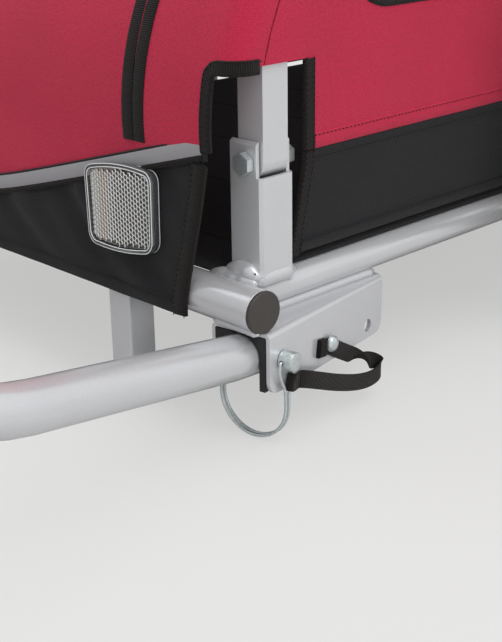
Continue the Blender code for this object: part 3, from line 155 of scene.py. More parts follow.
# Each lamp's name, place, the point it looks at, size, power and tint
LAMPS = (
    ("key", (2.3, -0.1, 2.8), (0.25, 0.0, 0.15), 2.0, 29, (1, 1, 1)),
    ("fill", (-1.5, -0.38, 2.05), (0.2, -0.04, 0.1), 1.5, 6, (0.9, 0.95, 1.0)),
    ("top", (0.2, 0.3, 3.4), (0.2, 0.0, 0.1), 2.6, 19, (1, 1, 1)),
)


def linear(code):
    """An sRGB hex colour as linear values with full alpha."""
    parts = [int(code[i:i + 2], 16) / 255 for i in (0, 2, 4)]
    return tuple(c / 12.92 if c <= 0.04045 else ((c + 0.055) / 1.055) ** 2.4 for c in parts) + (1.0,)


def colour(name, code, description):
    """A colour property of the panel."""
    return bpy.props.FloatVectorProperty(name=name, description=description, subtype="COLOR", size=4, min=0,
                                         max=1, default=linear(code))


def length(name, value, description):
    """A length property of the panel."""
    return bpy.props.FloatProperty(name=name, description=description, default=value, min=0, unit="LENGTH",
                                   precision=5)


class TrailerColours(bpy.types.PropertyGroup):
    """Colours that a user may change."""
    paint: colour("Paint", "D6D7DA", "Powder coat of the steel frame")
    zinc: colour("Zinc", "D3DBDC", "Plating of bolts, pins and wire")
    cap: colour("End caps", "3F3B38", "Caps in the tubes' ends")
    plastic: colour("Black plastic", "1B1B1D", "Liner, feet and rims")
    dark_cloth: colour("Dark cloth", "1E1E21", "Lower panels and floor")
    bright_cloth: colour("Bright cloth", "C8284A", "Upper panels and roof")
    mesh_cloth: colour("Window mesh", "1E1E20", "Mesh in the windows")
    webbing: colour("Webbing", "231F1D", "Leash and binding tapes")
    band: colour("Reflective band", "A8A6AA", "Band between the front panels")
    lens: colour("Lens", "E6EAEC", "Clear plastic of the reflectors")
    rubber: colour("Rubber", "1C1C1D", "Tyres and the hitch's joint")
    backdrop: colour("Backdrop", "DCDCDB", "Floor and surroundings")


class TrailerSizes(bpy.types.PropertyGroup):
    """Sizes that a user may change."""
    tape_width: length("Binding width", 0.0130, "Width of the binding tapes")
    band_width: length("Band width", 0.0096, "Width of the reflective band")
    cloth_thick: length("Cloth thickness", 0.0010, "Thickness of the cabin's cloth")
    stitch: length("Stitch", 0.0026, "Length of one stitch")
    stitch_pitch: length("Stitch pitch", 0.0038, "From one stitch to the next")
    thread: length("Thread", 0.0007, "Thickness of the sewing thread")
    weave: length("Weave pitch", 0.0011, "Thread spacing of the cloth, drawn coarse enough to show")
    prism: length("Prism pitch", 0.0033, "Spacing of the reflectors' prisms")
    tread_blocks: bpy.props.IntProperty(name="Tread blocks", default=72, min=12,
                                        description="Blocks round each tyre")
    spokes: bpy.props.IntProperty(name="Spokes", default=6, min=3, description="Moulded spokes of each rim")


def sizes():
    """The scene's sizes."""
    return bpy.context.scene.trailer_sizes


def at(x, y, z):
    """A point given from the middle of the front tube's axis."""
    return ORIGIN + Vector((x, y, z))


def side_name(side):
    """left is the driver's left, +X."""
    return "left" if side > 0 else "right"


def clamp(value):
    """A value kept between 0 and 1."""
    return min(1.0, max(0.0, value))


def soft_step(value):
    """A value kept between 0 and 1 that starts and stops softly."""
    share = clamp(value)
    return share * share * (3 - 2 * share)


# Nodes

# A Mix node that mixes colours: its inputs for the share and the two colours, and its output
SHARE, COLOUR_A, COLOUR_B, MIXED = 0, 6, 7, 2


def add(tree, kind, inputs=(), output=0, **settings):
    """Adds a node with its settings and its inputs' values or links, and gives back one of its outputs."""
    made = tree.nodes.new(kind)
    for name, value in settings.items():
        setattr(made, name, value)
    for socket, value in dict(inputs).items():
        if isinstance(value, bpy.types.NodeSocket):
            tree.links.new(value, made.inputs[socket])
        else:
            made.inputs[socket].default_value = value
    return made.outputs[output]


def tinted(tree, pattern, plain, other, start=0.0, end=1.0, most=1.0):
    """A colour that turns to another, by a share of at most, as a pattern runs from start to end."""
    share = add(tree, "ShaderNodeMapRange",
                {"Value": pattern, "From Min": start, "From Max": end, "To Max": most})
    return add(tree, "ShaderNodeMix", {SHARE: share, COLOUR_A: plain, COLOUR_B: other}, MIXED,
               data_type="RGBA")


def give(tree, shader, looks):
    """Links each look to the shader's socket of that name."""
    for socket, source in looks.items():
        tree.links.new(source, shader.inputs[socket])


def darker(value, share):
    """A colour scaled towards black."""
    return (value[0] * share, value[1] * share, value[2] * share, 1.0)


def new_finish(name, constants):
    """An empty finish with its surface shader's constants set on the sockets."""
    mat = bpy.data.materials.new(name)
    mat.use_nodes = True
    shader = mat.node_tree.nodes["Principled BSDF"]
    for socket, value in constants.items():
        shader.inputs[socket].default_value = value
    return mat, mat.node_tree, shader


def place_of(tree, by_uv=False):
    """Where a point is: in the object, or along the cloth in metres."""
    if by_uv:
        return add(tree, "ShaderNodeUVMap", uv_map="UVMap")
    return add(tree, "ShaderNodeTexCoord", output="Object")


def powder_coat(colours):
    """Satin silver powder coat on steel: even, faintly sparkling, with soft wide highlights."""
    mat, tree, shader = new_finish("satin_silver_powder_coat", {"Metallic": 0.34, "Coat Weight": 0.3,
                                                                "Coat Roughness": 0.16})
    place = place_of(tree)
    flake = add(tree, "ShaderNodeTexNoise", {"Vector": place, "Scale": 1 / 0.0007, "Detail": 1})
    cloud = add(tree, "ShaderNodeTexNoise", {"Vector": place, "Scale": 1 / 0.03})
    peel = add(tree, "ShaderNodeTexNoise", {"Vector": place, "Scale": 1 / 0.0022, "Detail": 1})
    base = tinted(tree, flake, darker(colours.paint, 0.93), colours.paint, 0.35, 0.65)
    give(tree, shader, {
        "Base Color": tinted(tree, cloud, base, darker(colours.paint, 0.6), most=0.12),
        "Roughness": add(tree, "ShaderNodeMapRange", {"Value": cloud, "To Min": 0.20, "To Max": 0.27}),
        "Normal": add(tree, "ShaderNodeBump", {"Height": peel, "Distance": 0.00004, "Strength": 0.15}),
    })
    return mat


def zinc_plate(colours):
    """Bright zinc plate on small steel pieces: pale, a little mottled by the bath, quick to catch light."""
    mat, tree, shader = new_finish("bright_zinc_plate", {"Metallic": 0.75})
    place = place_of(tree)
    mottle = add(tree, "ShaderNodeTexNoise", {"Vector": place, "Scale": 1 / 0.0024, "Detail": 3})
    fine = add(tree, "ShaderNodeTexNoise", {"Vector": place, "Scale": 1 / 0.0011})
    give(tree, shader, {
        "Base Color": tinted(tree, mottle, darker(colours.zinc, 0.84), colours.zinc, 0.35, 0.65),
        "Roughness": add(tree, "ShaderNodeMapRange", {"Value": mottle, "To Min": 0.38, "To Max": 0.28}),
        "Normal": add(tree, "ShaderNodeBump", {"Height": fine, "Distance": 0.00005, "Strength": 0.3}),
    })
    return mat


def moulded(name, tint, rough, grain, depth, stretch=(1, 1, 1)):
    """Moulded plastic: one colour, a fine spark-eroded grain, worn a little smoother in places."""
    mat, tree, shader = new_finish(name, {"IOR": 1.49})
    place = add(tree, "ShaderNodeMapping", {"Vector": place_of(tree), "Scale": stretch})
    fine = add(tree, "ShaderNodeTexNoise", {"Vector": place, "Scale": 1 / grain})
    cloud = add(tree, "ShaderNodeTexNoise", {"Vector": place, "Scale": 1 / 0.012})
    worn = {"Value": cloud, "To Min": rough - 0.08, "To Max": rough + 0.08}
    give(tree, shader, {
        "Base Color": tinted(tree, cloud, tint, darker(tint, 0.72), most=0.5),
        "Roughness": add(tree, "ShaderNodeMapRange", worn),
        "Normal": add(tree, "ShaderNodeBump", {"Height": fine, "Distance": depth, "Strength": 0.5}),
    })
    return mat


def cross_grid(tree, place, pitch):
    """Rounded rows across and along the cloth, for a weave of this pitch."""
    steady = {"Vector": place, "Scale": 0.314 / pitch, "Distortion": 0.0}
    across = add(tree, "ShaderNodeTexWave", steady, "Fac", bands_direction="X")
    along = add(tree, "ShaderNodeTexWave", steady, "Fac", bands_direction="Y")
    return across, along


def woven(name, tint, pitch, sheen, depth):
    """Coated polyester weave: dull crossed threads, a soft sheen at grazing light and slight dye clouds."""
    mat, tree, shader = new_finish(name, {"Sheen Weight": sheen, "Sheen Roughness": 0.45,
                                          "Specular IOR Level": 0.25})
    place = place_of(tree, True)
    across, along = cross_grid(tree, place, pitch)
    chequer = add(tree, "ShaderNodeTexChecker", {"Vector": place, "Scale": 1 / pitch}, "Fac")
    height = add(tree, "ShaderNodeMix", {"Factor": chequer, "A": across, "B": along})
    thread = add(tree, "ShaderNodeTexNoise", {"Vector": place, "Scale": 1 / (pitch * 1.7), "Detail": 1})
    cloud = add(tree, "ShaderNodeTexNoise", {"Vector": place, "Scale": 1 / 0.05})
    # Darker in the weave's dips: painted shade between the threads.
    base = tinted(tree, height, darker(tint, 0.62), tint)
    mottled = tinted(tree, thread, base, darker(tint, 1.35), 0.3, 0.8, 0.45)
    give(tree, shader, {
        "Base Color": tinted(tree, cloud, mottled, darker(tint, 0.7), 0.4, 0.8, 0.3),
        "Roughness": add(tree, "ShaderNodeMapRange", {"Value": thread, "To Min": 0.72, "To Max": 0.9}),
        "Normal": add(tree, "ShaderNodeBump", {"Height": height, "Distance": depth, "Strength": 0.7}),
    })
    return mat


def window_mesh(colours):
    """Knitted polyester mesh: open square cells between thin threads, drawn coarse enough to show."""
    mat, tree, shader = new_finish("knitted_window_mesh", {"Sheen Weight": 0.3, "Roughness": 0.8})
    place = place_of(tree, True)
    across, along = cross_grid(tree, place, 0.0024)
    height = add(tree, "ShaderNodeMath", {0: across, 1: along}, operation="MAXIMUM")
    cloud = add(tree, "ShaderNodeTexNoise", {"Vector": place, "Scale": 1 / 0.01})
    give(tree, shader, {
        "Base Color": tinted(tree, cloud, colours.mesh_cloth, darker(colours.mesh_cloth, 0.6)),
        "Alpha": add(tree, "ShaderNodeMapRange", {"Value": height, "From Min": 0.62, "From Max": 0.74}),
        "Normal": add(tree, "ShaderNodeBump", {"Height": height, "Distance": 0.0004, "Strength": 0.6}),
    })
    return mat


def grosgrain(name, tint, rib):
    """Ribbed woven tape: close ribs across its width, brown-black, nearly without shine."""
    mat, tree, shader = new_finish(name, {"Sheen Weight": 0.08, "Sheen Roughness": 0.5,
                                          "Specular IOR Level": 0.2})
    place = place_of(tree, True)
    across, along = cross_grid(tree, place, rib)
    height = add(tree, "ShaderNodeMath", {0: along, 1: 0.3, 2: across}, operation="MULTIPLY_ADD")
    fuzz = add(tree, "ShaderNodeTexNoise", {"Vector": place, "Scale": 1 / 0.0012})
    # Lighter on the ribs and darker between them: painted light and shade across the ribs.
    base = tinted(tree, height, darker(tint, 0.5), darker(tint, 1.3), 0.0, 1.3)
    give(tree, shader, {
        "Base Color": tinted(tree, fuzz, base, darker(tint, 0.5), most=0.35),
        "Roughness": add(tree, "ShaderNodeMapRange", {"Value": height, "To Min": 0.9, "To Max": 0.7}),
        "Normal": add(tree, "ShaderNodeBump", {"Height": height, "Distance": rib * 0.35, "Strength": 0.8}),
    })
    return mat


def reflective_band(colours):
    """Glass-bead tape: flat light grey cloth, fine twill, a little brighter than its surroundings."""
    mat, tree, shader = new_finish("glass_bead_tape", {"Metallic": 0.25, "Sheen Weight": 0.2})
    place = place_of(tree, True)
    aslant = add(tree, "ShaderNodeMapping", {"Vector": place, "Rotation": (0, 0, 0.785)})
    across, along = cross_grid(tree, aslant, 0.0012)
    height = add(tree, "ShaderNodeMath", {0: across, 1: along}, operation="MULTIPLY")
    cloud = add(tree, "ShaderNodeTexNoise", {"Vector": place, "Scale": 1 / 0.004})
    # Darker in the twill's dips: painted shade between the threads.
    give(tree, shader, {
        "Base Color": tinted(tree, height, darker(colours.band, 0.82), colours.band),
        "Roughness": add(tree, "ShaderNodeMapRange", {"Value": cloud, "To Min": 0.42, "To Max": 0.6}),
        "Normal": add(tree, "ShaderNodeBump", {"Height": height, "Distance": 0.0001, "Strength": 0.5}),
    })
    return mat


def clear_lens(colours):
    """Clear acrylic: almost invisible face on, with bright rounded edges."""
    mat, tree, shader = new_finish("clear_acrylic", {"Transmission Weight": 0.93, "IOR": 1.49,
                                                     "Coat Weight": 0.7, "Coat Roughness": 0.04})
    scuff = add(tree, "ShaderNodeTexNoise", {"Vector": place_of(tree), "Scale": 1 / 0.006, "Detail": 4})
    give(tree, shader, {
        "Base Color": tinted(tree, scuff, colours.lens, darker(colours.lens, 0.9)),
        "Roughness": add(tree, "ShaderNodeMapRange", {"Value": scuff, "To Min": 0.04, "To Max": 0.12}),
    })
    return mat


def prism_silver():
    """Moulded prisms behind a clear face: dark tips in a bright net and a paler, warmer middle, all painted
    light and reflection.
    """
    mat, tree, shader = new_finish("silvered_prisms", {"Metallic": 0.55, "Coat Weight": 0.4,
                                                       "Coat Roughness": 0.05})
    place = place_of(tree)
    across = add(tree, "ShaderNodeMath", {0: add(tree, "ShaderNodeSeparateXYZ", {0: place})},
                 operation="ABSOLUTE")

    def between(start, end, first, last):
        """Runs from first to last between two distances from the trailer's middle."""
        return add(tree, "ShaderNodeMapRange", {"Value": across, "From Min": start, "From Max": end,
                                                "To Min": first, "To Max": last})

    # A warm tinge in a narrow band across the field: painted reflection.
    painted_warmth = add(tree, "ShaderNodeMath", {0: between(0.157, 0.161, 0.0, 0.35),
                                        1: between(0.163, 0.172, 1.0, 0.0)}, operation="MULTIPLY")
    cloud = add(tree, "ShaderNodeTexNoise", {"Vector": place, "Scale": 1 / 0.004})
    glint = add(tree, "ShaderNodeMapRange", {"Value": cloud, "From Min": 0.3, "From Max": 0.7,
                                             "To Min": -0.25, "To Max": 0.25})
    # Tips that face the lens are dark and the slopes bright: painted shade and painted highlight, set by
    # facing.
    normal = add(tree, "ShaderNodeNewGeometry", output="Normal")
    lens_way = (0.0, -0.998, 0.06)
    faced = add(tree, "ShaderNodeVectorMath", {0: normal, 1: lens_way}, "Value", operation="DOT_PRODUCT")
    flat = add(tree, "ShaderNodeMapRange", {"Value": faced, "From Min": 0.82, "From Max": 0.90})
    dark = add(tree, "ShaderNodeMath", {0: flat, 1: between(0.163, 0.178, 0.6, 1.0)}, operation="MULTIPLY")
    dull = add(tree, "ShaderNodeMapRange", {"Value": glint, "From Min": 0.3, "From Max": 0.7,
                                            "To Min": 0.88, "To Max": 1.0})
    tips = add(tree, "ShaderNodeMath", {0: dark, 1: dull}, operation="MULTIPLY")
    base = tinted(tree, tips, linear("F6F6F4"), linear("0F0F10"))
    with_painted_warmth = add(tree, "ShaderNodeMix", {SHARE: painted_warmth, COLOUR_A: base, COLOUR_B: linear("DDBFA6")}, MIXED,
                 data_type="RGBA", blend_type="MULTIPLY")
    # Paler towards the trailer's middle: painted reflection.
    give(tree, shader, {
        "Base Color": tinted(tree, between(0.156, 0.163, 0.80, 0.0), with_painted_warmth, linear("D9D8D4")),
        "Roughness": add(tree, "ShaderNodeMapRange", {"Value": glint, "To Min": 0.15, "To Max": 0.3}),
    })
    return mat


def rubber(name, tint, depth):
    """Vulcanised rubber: deep black, dusty where it bends, dull but for a faint bloom."""
    mat, tree, shader = new_finish(name, {"Specular IOR Level": 0.35, "Sheen Weight": 0.1})
    place = place_of(tree)
    dust = add(tree, "ShaderNodeTexNoise", {"Vector": place, "Scale": 1 / 0.02, "Detail": 5,
                                            "Roughness": 0.65})
    fine = add(tree, "ShaderNodeTexNoise", {"Vector": place, "Scale": 1 / 0.0008})
    give(tree, shader, {
        "Base Color": tinted(tree, dust, tint, (0.05, 0.048, 0.045, 1), 0.5, 0.8, 0.6),
        "Roughness": add(tree, "ShaderNodeMapRange", {"Value": dust, "To Min": 0.62, "To Max": 0.86}),
        "Normal": add(tree, "ShaderNodeBump", {"Height": fine, "Distance": depth, "Strength": 0.5}),
    })
    return mat


FINISHES = {
    "silver_paint": powder_coat,
    "zinc": zinc_plate,
    "dark_plastic": lambda c: moulded("brushed_polyethylene_cap", c.cap, 0.5, 0.0007, 0.00006, (1, 6, 1)),
    "black_plastic": lambda c: moulded("grained_polypropylene", c.plastic, 0.48, 0.0005, 0.00008),
    "black_fabric": lambda c: woven("coated_black_polyester", c.dark_cloth, sizes().weave, 0.10, 0.00022),
    "red_fabric": lambda c: woven("coated_red_polyester", c.bright_cloth, sizes().weave, 0.12, 0.00022),
    "mesh_fabric": window_mesh,
    "webbing": lambda c: grosgrain("nylon_webbing", darker(c.webbing, 0.8), 0.0014),
    "leash": lambda c: grosgrain("leash_webbing", darker(c.webbing, 0.8), 0.0014),
    "band": reflective_band,
    "clear_plastic": clear_lens,
    "prisms": lambda c: prism_silver(),
    # Near-white lines along the reflectors' rim edges: painted highlight.
    "painted_edge_highlight": lambda c: moulded("acrylic_edge_painted_highlight", linear("F4F6F7"), 0.14, 0.0015, 0.00002),
    "tyre_rubber": lambda c: rubber("tyre_tread_rubber", c.rubber, 0.00012),
    "black_rubber": lambda c: rubber("moulded_joint_rubber", c.rubber, 0.00008),
    "thread": lambda c: grosgrain("twisted_sewing_thread", c.webbing, 0.0009),
}
MADE = {}


def finish(key):
    """The finish of that name, made once."""
    if key not in MADE:
        MADE[key] = FINISHES[key](bpy.context.scene.trailer_colours)
    return MADE[key]


# Meshes

def mesh_from(name, bm, smooth=40):
    """A mesh from a bmesh, smooth but for edges sharper than the angle given."""
    mesh = bpy.data.meshes.new(name)
    bm.normal_update()
    bm.to_mesh(mesh)
    bm.free()
    mesh.shade_smooth()
    mesh.set_sharp_from_angle(angle=math.radians(smooth))
    return mesh


def declared(obj, body, stands_for):
    """Lets an object ride on a body and hides the CAD nodes that it stands for."""
    if body:
        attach(obj, body)
    if stands_for:
        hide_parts(*stands_for)
    return obj


def piece(name, mesh, key, body, stands_for=()):
    """Links a finished mesh as a piece that rides on a body and stands for CAD nodes."""
    obj = loose(name, mesh)
    if not mesh.materials:
        mesh.materials.append(finish(key))
    return declared(obj, body, stands_for)


def settled(obj):
    """Puts an object's modifiers into its mesh."""
    bpy.context.view_layer.update()
    mesh = bpy.data.meshes.new_from_object(obj.evaluated_get(bpy.context.evaluated_depsgraph_get()))
    obj.modifiers.clear()
    obj.data = mesh
    return obj


def loose(name, mesh):
    """A mesh as an object that isn't a piece yet."""
    obj = bpy.data.objects.new(name, mesh)
    bpy.context.scene.collection.objects.link(obj)
    return obj


def take_mesh(obj):
    """The mesh of an object that is no longer needed."""
    mesh = obj.data
    bpy.data.objects.remove(obj)
    return mesh


def eased(name, bm, width, segments=2, angle=30):
    """A mesh whose sharp edges are rounded."""
    obj = loose(name, mesh_from(name, bm, 180))
    mod = obj.modifiers.new("edge", "BEVEL")
    mod.width = width
    mod.segments = segments
    mod.limit_method = "ANGLE"
    mod.angle_limit = math.radians(angle)
    even_out = obj.modifiers.new("flat faces stay flat", "WEIGHTED_NORMAL")
    even_out.weight = 80
    return take_mesh(settled(obj))


def spun(profile, matrix, steps=64):
    """A bmesh turned from a profile of (radius, height) round Z, placed by a matrix."""
    bm = bmesh.new()
    verts = [bm.verts.new((r, 0, z)) for r, z in profile]
    edges = [bm.edges.new(pair) for pair in zip(verts, verts[1:])]
    bmesh.ops.spin(bm, geom=verts + edges, cent=(0, 0, 0), axis=(0, 0, 1), angle=2 * math.pi, steps=steps,
                   use_merge=True)
    bmesh.ops.remove_doubles(bm, verts=bm.verts, dist=0.00001)
    bmesh.ops.recalc_face_normals(bm, faces=bm.faces)
    bmesh.ops.transform(bm, matrix=matrix, verts=bm.verts)
    return bm


def merged(*bms):
    """Several bmeshes as one."""
    whole = bmesh.new()
    for bm in bms:
        part = bpy.data.meshes.new("part")
        bm.to_mesh(part)
        bm.free()
        whole.from_mesh(part)
        bpy.data.meshes.remove(part)
    return whole


def towards(start, end):
    """A matrix at start whose Z axis points to end."""
    start, end = Vector(start), Vector(end)
    return Matrix.Translation(start) @ (end - start).to_track_quat("Z", "Y").to_matrix().to_4x4()


def swept(rings, closed=False):
    """A bmesh skinned over rings of points, its ends closed unless it runs in a loop."""
    bm = bmesh.new()
    grid = [[bm.verts.new(p) for p in ring] for ring in rings]
    for first, second in zip(grid, grid[1:] + ([grid[0]] if closed else [])):
        for k in range(len(first)):
            bm.faces.new((first[k - 1], first[k], second[k], second[k - 1]))
    if not closed:
        bm.faces.new(grid[0])
        bm.faces.new(grid[-1][::-1])
    bmesh.ops.recalc_face_normals(bm, faces=bm.faces)
    return bm


def frames_along(points, closed=False):
    """Each point with its direction and two steady axes across it."""
    points = [Vector(p) for p in points]
    count = len(points)
    made, side = [], None
    for i, point in enumerate(points):
        ahead = points[(i + 1) % count] if closed or i < count - 1 else point
        behind = points[i - 1] if closed or i > 0 else point
        along = (ahead - behind).normalized()
        side = (side or along.orthogonal()).normalized()
        side = (side - along * side.dot(along)).normalized()
        made.append((point, along, side, along.cross(side)))
    return made


def tube(points, radius, sides=16, closed=False, wobble=None):
    """A round tube along points; wobble(i) scales its radius."""
    rings = []
    for i, (point, _, a, b) in enumerate(frames_along(points, closed)):
        r = radius * (wobble(i) if wobble else 1)
        turns = [2 * math.pi * k / sides for k in range(sides)]
        rings.append([point + (a * math.cos(t) + b * math.sin(t)) * r for t in turns])
    return swept(rings, closed)


def arc(centre, radius, start, end, steps):
    """Points on an arc in a plane, angles in degrees."""
    turns = [math.radians(start + (end - start) * i / steps) for i in range(steps + 1)]
    return [(centre[0] + radius * math.cos(a), centre[1] + radius * math.sin(a)) for a in turns]


def spaced(points, pitch, closed=False):
    """Points a steady distance apart along a path."""
    points = [Vector(p) for p in points]
    if closed:
        points.append(points[0])
    lengths = [0.0]
    for a, b in zip(points, points[1:]):
        lengths.append(lengths[-1] + (b - a).length)
    count = max(2, round(lengths[-1] / pitch))
    result, k = [], 0
    for i in range(count + (0 if closed else 1)):
        goal = lengths[-1] * i / count
        while k < len(points) - 2 and lengths[k + 1] < goal:
            k += 1
        share = (goal - lengths[k]) / max(lengths[k + 1] - lengths[k], 1e-9)
        result.append(points[k].lerp(points[k + 1], share))
    return result


def smooth_route(points, steps=6):
    """A Catmull-Rom curve through the points."""
    points = [Vector(p) for p in points]
    padded = [points[0] * 2 - points[1]] + points + [points[-1] * 2 - points[-2]]
    result = []
    for a, b, c, d in zip(padded, padded[1:], padded[2:], padded[3:]):
        for k in range(steps):
            t = k / steps
            result.append(0.5 * (2 * b + (c - a) * t + (2 * a - 5 * b + 4 * c - d) * t * t
                                 + (3 * b - a - 3 * c + d) * t ** 3))
    return result + [points[-1]]


def dressed(node, key, edge):
    """A CAD node's own shape, whole again from its triangles, with its edges eased."""
    bm = bmesh.new()
    bm.from_mesh(frame["nodes"][node].data)
    bmesh.ops.remove_doubles(bm, verts=bm.verts, dist=0.000002)
    bmesh.ops.dissolve_limit(bm, angle_limit=math.radians(0.5), verts=bm.verts, edges=bm.edges)
    for face in bm.faces:
        face.material_index = 0
    mesh = eased(node, bm, edge)
    mesh.materials.clear()
    return piece(node + "_finished", mesh, key, BODY_OF[node], [node])


# Cloth

def cut_cloth(loops, pitch, lines=()):
    """A flat cut of cloth as points and triangles; the first loop is its outline, the others are holes.

    Lines are places across the cloth where it bends and needs a row of points.
    """
    points, edges = [], []
    for loop in loops:
        loop = dense(loop, pitch)
        first = len(points)
        points += loop
        edges += [(first + i, first + (i + 1) % len(loop)) for i in range(len(loop))]
    foot, head = min(p.y for p in points), max(p.y for p in points)
    for u in lines:
        points += [Vector((u, foot + pitch * (k + 0.5))) for k in range(int((head - foot) / pitch))]
    near = kdtree.KDTree(len(points))
    for i, p in enumerate(points):
        near.insert((p.x, p.y, 0), i)
    near.balance()
    low, high = reach_of(points)
    rows = int((high[1] - low[1]) / (pitch * 0.87)) + 1
    for j in range(rows):
        v = low[1] + pitch * 0.87 * (j + 0.5)
        for i in range(int((high[0] - low[0]) / pitch) + 1):
            u = low[0] + pitch * (i + 0.25 + 0.5 * (j % 2))
            if near.find((u, v, 0))[2] > pitch * 0.55:
                points.append(Vector((u, v)))
    verts, _, faces, *_ = delaunay_2d_cdt(points, edges, [], 2, 1e-7)
    faces = [f for f in faces if not any(inside(hole, *middle_of(verts, f), 0) for hole in loops[1:])]
    used = sorted({i for f in faces for i in f})
    index = {old: new for new, old in enumerate(used)}
    return [verts[i] for i in used], [[index[i] for i in f] for f in faces]


def reach_of(points):
    """The lowest and highest values of flat points."""
    return [min(p[k] for p in points) for k in (0, 1)], [max(p[k] for p in points) for k in (0, 1)]


def middle_of(verts, face):
    """The middle of a flat triangle."""
    return sum(verts[i].x for i in face) / len(face), sum(verts[i].y for i in face) / len(face)


def inside(loop, x, y, margin):
    """Whether a point is within a loop by a margin."""
    within = False
    for (ax, ay), (bx, by) in zip(loop, list(loop[1:]) + [loop[0]]):
        if margin and math.hypot(ax - x, ay - y) < margin:
            return False
        if (ay > y) != (by > y) and x < ax + (y - ay) * (bx - ax) / (by - ay):
            within = not within
    return within


def dense(loop, pitch):
    """A loop with its long edges divided and its corners kept."""
    result = []
    for a, b in zip(loop, list(loop[1:]) + [loop[0]]):
        a, b = Vector(a[:2]), Vector(b[:2])
        steps = max(1, round((b - a).length / pitch))
        result += [a.lerp(b, i / steps) for i in range(steps)]
    return result


def facing(wrap, u, v):
    """A surface's point and outward direction."""
    step = 0.0004
    point = wrap(u, v)
    du = wrap(u + step, v) - wrap(u - step, v)
    dv = wrap(u, v + step) - wrap(u, v - step)
    return point, du.cross(dv).normalized()


def cloth(name, loops, wrap, key, body, stands_for=(), relief=None, pitch=0.011, lines=()):
    """A cut of cloth laid on a surface with soft relief and given its thickness, riding on its body."""
    verts, faces = cut_cloth(loops, pitch, lines)
    mesh = bpy.data.meshes.new(name)
    points = []
    for v in verts:
        point, out = facing(wrap, v.x, v.y)
        points.append(point + out * (relief(v.x, v.y) if relief else 0.0))
    mesh.from_pydata(points, [], faces)
    uv = mesh.uv_layers.new(name="UVMap")
    for loop in mesh.loops:
        uv.data[loop.index].uv = verts[loop.vertex_index]
    _, out = facing(wrap, verts[faces[0][0]].x, verts[faces[0][0]].y)
    mesh.update()
    if mesh.polygons[0].normal.dot(out) < 0:
        mesh.flip_normals()
    obj = loose(name, mesh)
    shell = obj.modifiers.new("thickness", "SOLIDIFY")
    shell.thickness = sizes().cloth_thick if key != "mesh_fabric" else 0.0006
    shell.offset = 0
    settled(obj)
    obj.data.shade_smooth()
    obj.data.set_sharp_from_angle(angle=math.radians(50))
    obj.data.materials.clear()
    obj.data.materials.append(finish(key))
    declared(obj, body, stands_for)
    return obj


def band_rings(framed, width, thick):
    """Cross-sections of a flat band: each frame is (point, across, out)."""
    edge = ((-0.5, -0.25), (-0.5, 0.25), (-0.44, 0.5), (0.44, 0.5), (0.5, 0.25), (0.5, -0.25), (0.44, -0.5),
            (-0.44, -0.5))
    return [[p + a * width * x + n * thick * y for x, y in edge] for p, a, n in framed], [x for x, _ in edge]


def band(framed, width, thick, closed=False):
    """A flat band with rounded edges, its UV map in metres along and across it."""
    rings, offsets = band_rings(framed, width, thick)
    bm = bmesh.new()
    layer = bm.loops.layers.uv.new("UVMap")
    grid = [[bm.verts.new(p) for p in ring] for ring in rings]
    run = [0.0]
    for (a, _, _), (b, _, _) in zip(framed, framed[1:] + framed[:1]):
        run.append(run[-1] + (b - a).length)
    count = len(grid)
    for i in range(count if closed else count - 1):
        first, second = grid[i], grid[(i + 1) % count]
        for k in range(len(first)):
            face = bm.faces.new((first[k - 1], first[k], second[k], second[k - 1]))
            spots_at = ((run[i], k - 1), (run[i], k), (run[i + 1], k), (run[i + 1], k - 1))
            for loop, (along, j) in zip(face.loops, spots_at):
                loop[layer].uv = (along, offsets[j] * width)
    if not closed:
        bm.faces.new(grid[0])
        bm.faces.new(grid[-1][::-1])
    bmesh.ops.recalc_face_normals(bm, faces=bm.faces)
    return bm


def on_surface(wrap, path, lift, closed=False):
    """Frames of a band that runs along (u, v) points on a surface, lifted off it."""
    framed = []
    count = len(path)
    for i, p in enumerate(path):
        ahead = path[(i + 1) % count] if closed or i < count - 1 else p
        behind = path[i - 1] if closed or i > 0 else p
        point, out = facing(wrap, p[0], p[1])
        along = (wrap(ahead[0], ahead[1]) - wrap(behind[0], behind[1])).normalized()
        framed.append((point + out * lift, along.cross(out).normalized(), out))
    return framed


def tape(name, wrap, path, width, thick, key, body, lift=0.0, pitch=0.004, closed=False):
    """A sewn band along a path on the cloth."""
    path = spaced([(u, v, 0) for u, v in path], pitch, closed)
    framed = on_surface(wrap, path, lift, closed)
    return piece(name, mesh_from(name, band(framed, width, thick, closed), 50), key, body)


# Repeats made by Geometry Nodes

def repeat_tree(name, **inputs):
    """An empty Geometry Nodes tree with a geometry in and out, a finish and named inputs."""
    tree = bpy.data.node_groups.new(name, "GeometryNodeTree")
    tree.interface.new_socket("Geometry", in_out="OUTPUT", socket_type="NodeSocketGeometry")
    for label, kind in {"Geometry": "Geometry", **inputs, "Finish": "Material"}.items():
        tree.interface.new_socket(label, in_out="INPUT", socket_type="NodeSocket" + kind)
    start = tree.nodes.new("NodeGroupInput")
    end = tree.nodes.new("NodeGroupOutput")
    return tree, start.outputs, end.inputs


def finish_tree(tree, start, end, instances):
    """Ends a tree in real geometry with the finish that it is given."""
    real = add(tree, "GeometryNodeRealizeInstances", {"Geometry": instances})
    painted = add(tree, "GeometryNodeSetMaterial", {"Geometry": real, "Material": start["Finish"]})
    tree.links.new(painted, end["Geometry"])
    return tree


